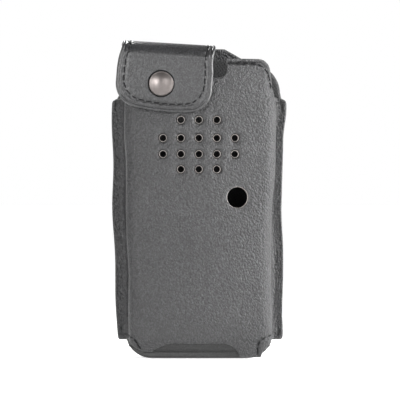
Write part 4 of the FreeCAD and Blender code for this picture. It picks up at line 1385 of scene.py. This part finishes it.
def make_threads():
    """Threads of the pouch, one piece for each CAD node."""
    rows = [
        ("front_top_thread", [(FRONT_MARKS, POCKET, 0.10)], "front_top_stitching"),
        ("gusset_thread", [(marks, POCKET, 0.12) for marks in GUSSET_MARKS], "gusset_stitching"),
        ("foot_thread", [(marks, POCKET, 0.16) for marks in (LEFT_LEG_MARKS, RIGHT_LEG_MARKS)],
         "foot_stitching"),
        ("side_seam_thread",
         [(marks, POCKET, 0.24) for marks in LIP_MARKS]
         + [(marks, BACK, 0.45) for marks in BACK_SEAM_MARKS], "side_seam_stitching"),
        ("back_top_thread", [(BACK_TOP_MARKS, BACK, 0.45)], "back_top_stitching"),
    ]
    for name, groups, node in rows:
        finish_piece(stitch_row(name, groups, THREAD_LOOK), "pouch", "thread", node)


# ---- stage ----

FLOOR_LEVEL = -0.0003
CAMERA_DISTANCE = 2.0
PICTURE_WIDTH = 0.184


def make_floor_plane():
    """Pale studio floor, just under the case's foot."""
    material, tree, shader = blank("pale_floor")
    grain = noise_value(tree, object_space(tree), 40.0)
    tree.links.new(blended(tree, ramp(tree, grain, 0.3, 0.7), (0.86, 0.86, 0.86), (0.9, 0.9, 0.9)),
                   shader.inputs["Base Color"])
    shader.inputs["Roughness"].default_value = 0.9
    shader.inputs["Emission Color"].default_value = (1, 1, 1, 1)
    shader.inputs["Emission Strength"].default_value = 0.64
    mesh = bpy.data.meshes.new("studio_floor")
    far = 60.0
    mesh.from_pydata([(-far, -far, 0), (far, -far, 0), (far, far, 0), (-far, far, 0)], [], [(0, 1, 2, 3)])
    mesh.materials.append(material)
    floor = placed("studio_floor", mesh)
    floor.location.z = FLOOR_LEVEL


def area_light(name, place, target, size, watts):
    """Rectangular lamp aimed at a target."""
    light = bpy.data.lights.new(name, "AREA")
    light.shape = "RECTANGLE"
    light.size, light.size_y = size
    light.energy = watts
    lamp = placed(name, light)
    lamp.location = place
    lamp.rotation_mode = "QUATERNION"
    lamp.rotation_quaternion = (Vector(target) - Vector(place)).to_track_quat("-Z", "Y")


def make_world():
    """Even white studio, brighter behind the object than behind the camera."""
    world = bpy.data.worlds.new("studio")
    world.use_nodes = True
    tree = world.node_tree
    direction = add(tree, "ShaderNodeTexCoord").outputs["Generated"]
    split = add(tree, "ShaderNodeSeparateXYZ", {0: direction})
    strength = ramp(tree, split.outputs["Y"], 0.6, 0.96, 0.36, 1.0)
    background = tree.nodes["Background"]
    background.inputs["Color"].default_value = (1, 1, 1, 1)
    tree.links.new(strength, background.inputs["Strength"])
    bpy.context.scene.world = world


def make_camera():
    """Level with the middle of the case, straight in front of it and far away."""
    data = bpy.data.cameras.new("camera")
    data.sensor_width = 36.0
    data.lens = 36.0 * CAMERA_DISTANCE / PICTURE_WIDTH
    data.clip_start, data.clip_end = 0.1, 200.0
    camera = placed("camera", data)
    camera.location = (0.00032, Y_FRONT * MM - CAMERA_DISTANCE, 0.07305)
    camera.rotation_euler = (math.pi / 2, 0, 0)
    bpy.context.scene.camera = camera


def make_stage():
    make_camera()
    make_world()
    make_floor_plane()
    panel = (0, 0, 0.08)
    area_light("left_key", (-0.54, -1.08, 0.33), panel, (0.36, 0.4), 9.6)
    area_light("right_key", (0.40, -1.12, 0.33), panel, (0.36, 0.4), 4.3)
    area_light("left_rim", (-0.72, -0.72, 0.28), panel, (0.25, 0.4), 2.2)
    area_light("right_rim", (0.74, -0.15, 0.24), panel, (0.40, 0.4), 15.5)
    area_light("strap_lamp", (-0.066, 0.075, 0.255), (-0.036, -0.02, 0.145), (0.03, 0.03), 0.25)
    bpy.context.scene.view_settings.view_transform = "Standard"


make_front()
make_front_layers()
make_floor()
make_back()
make_belt_loop()
make_strap()
make_cap()
dress_cad_nodes()
make_threads()
make_stage()
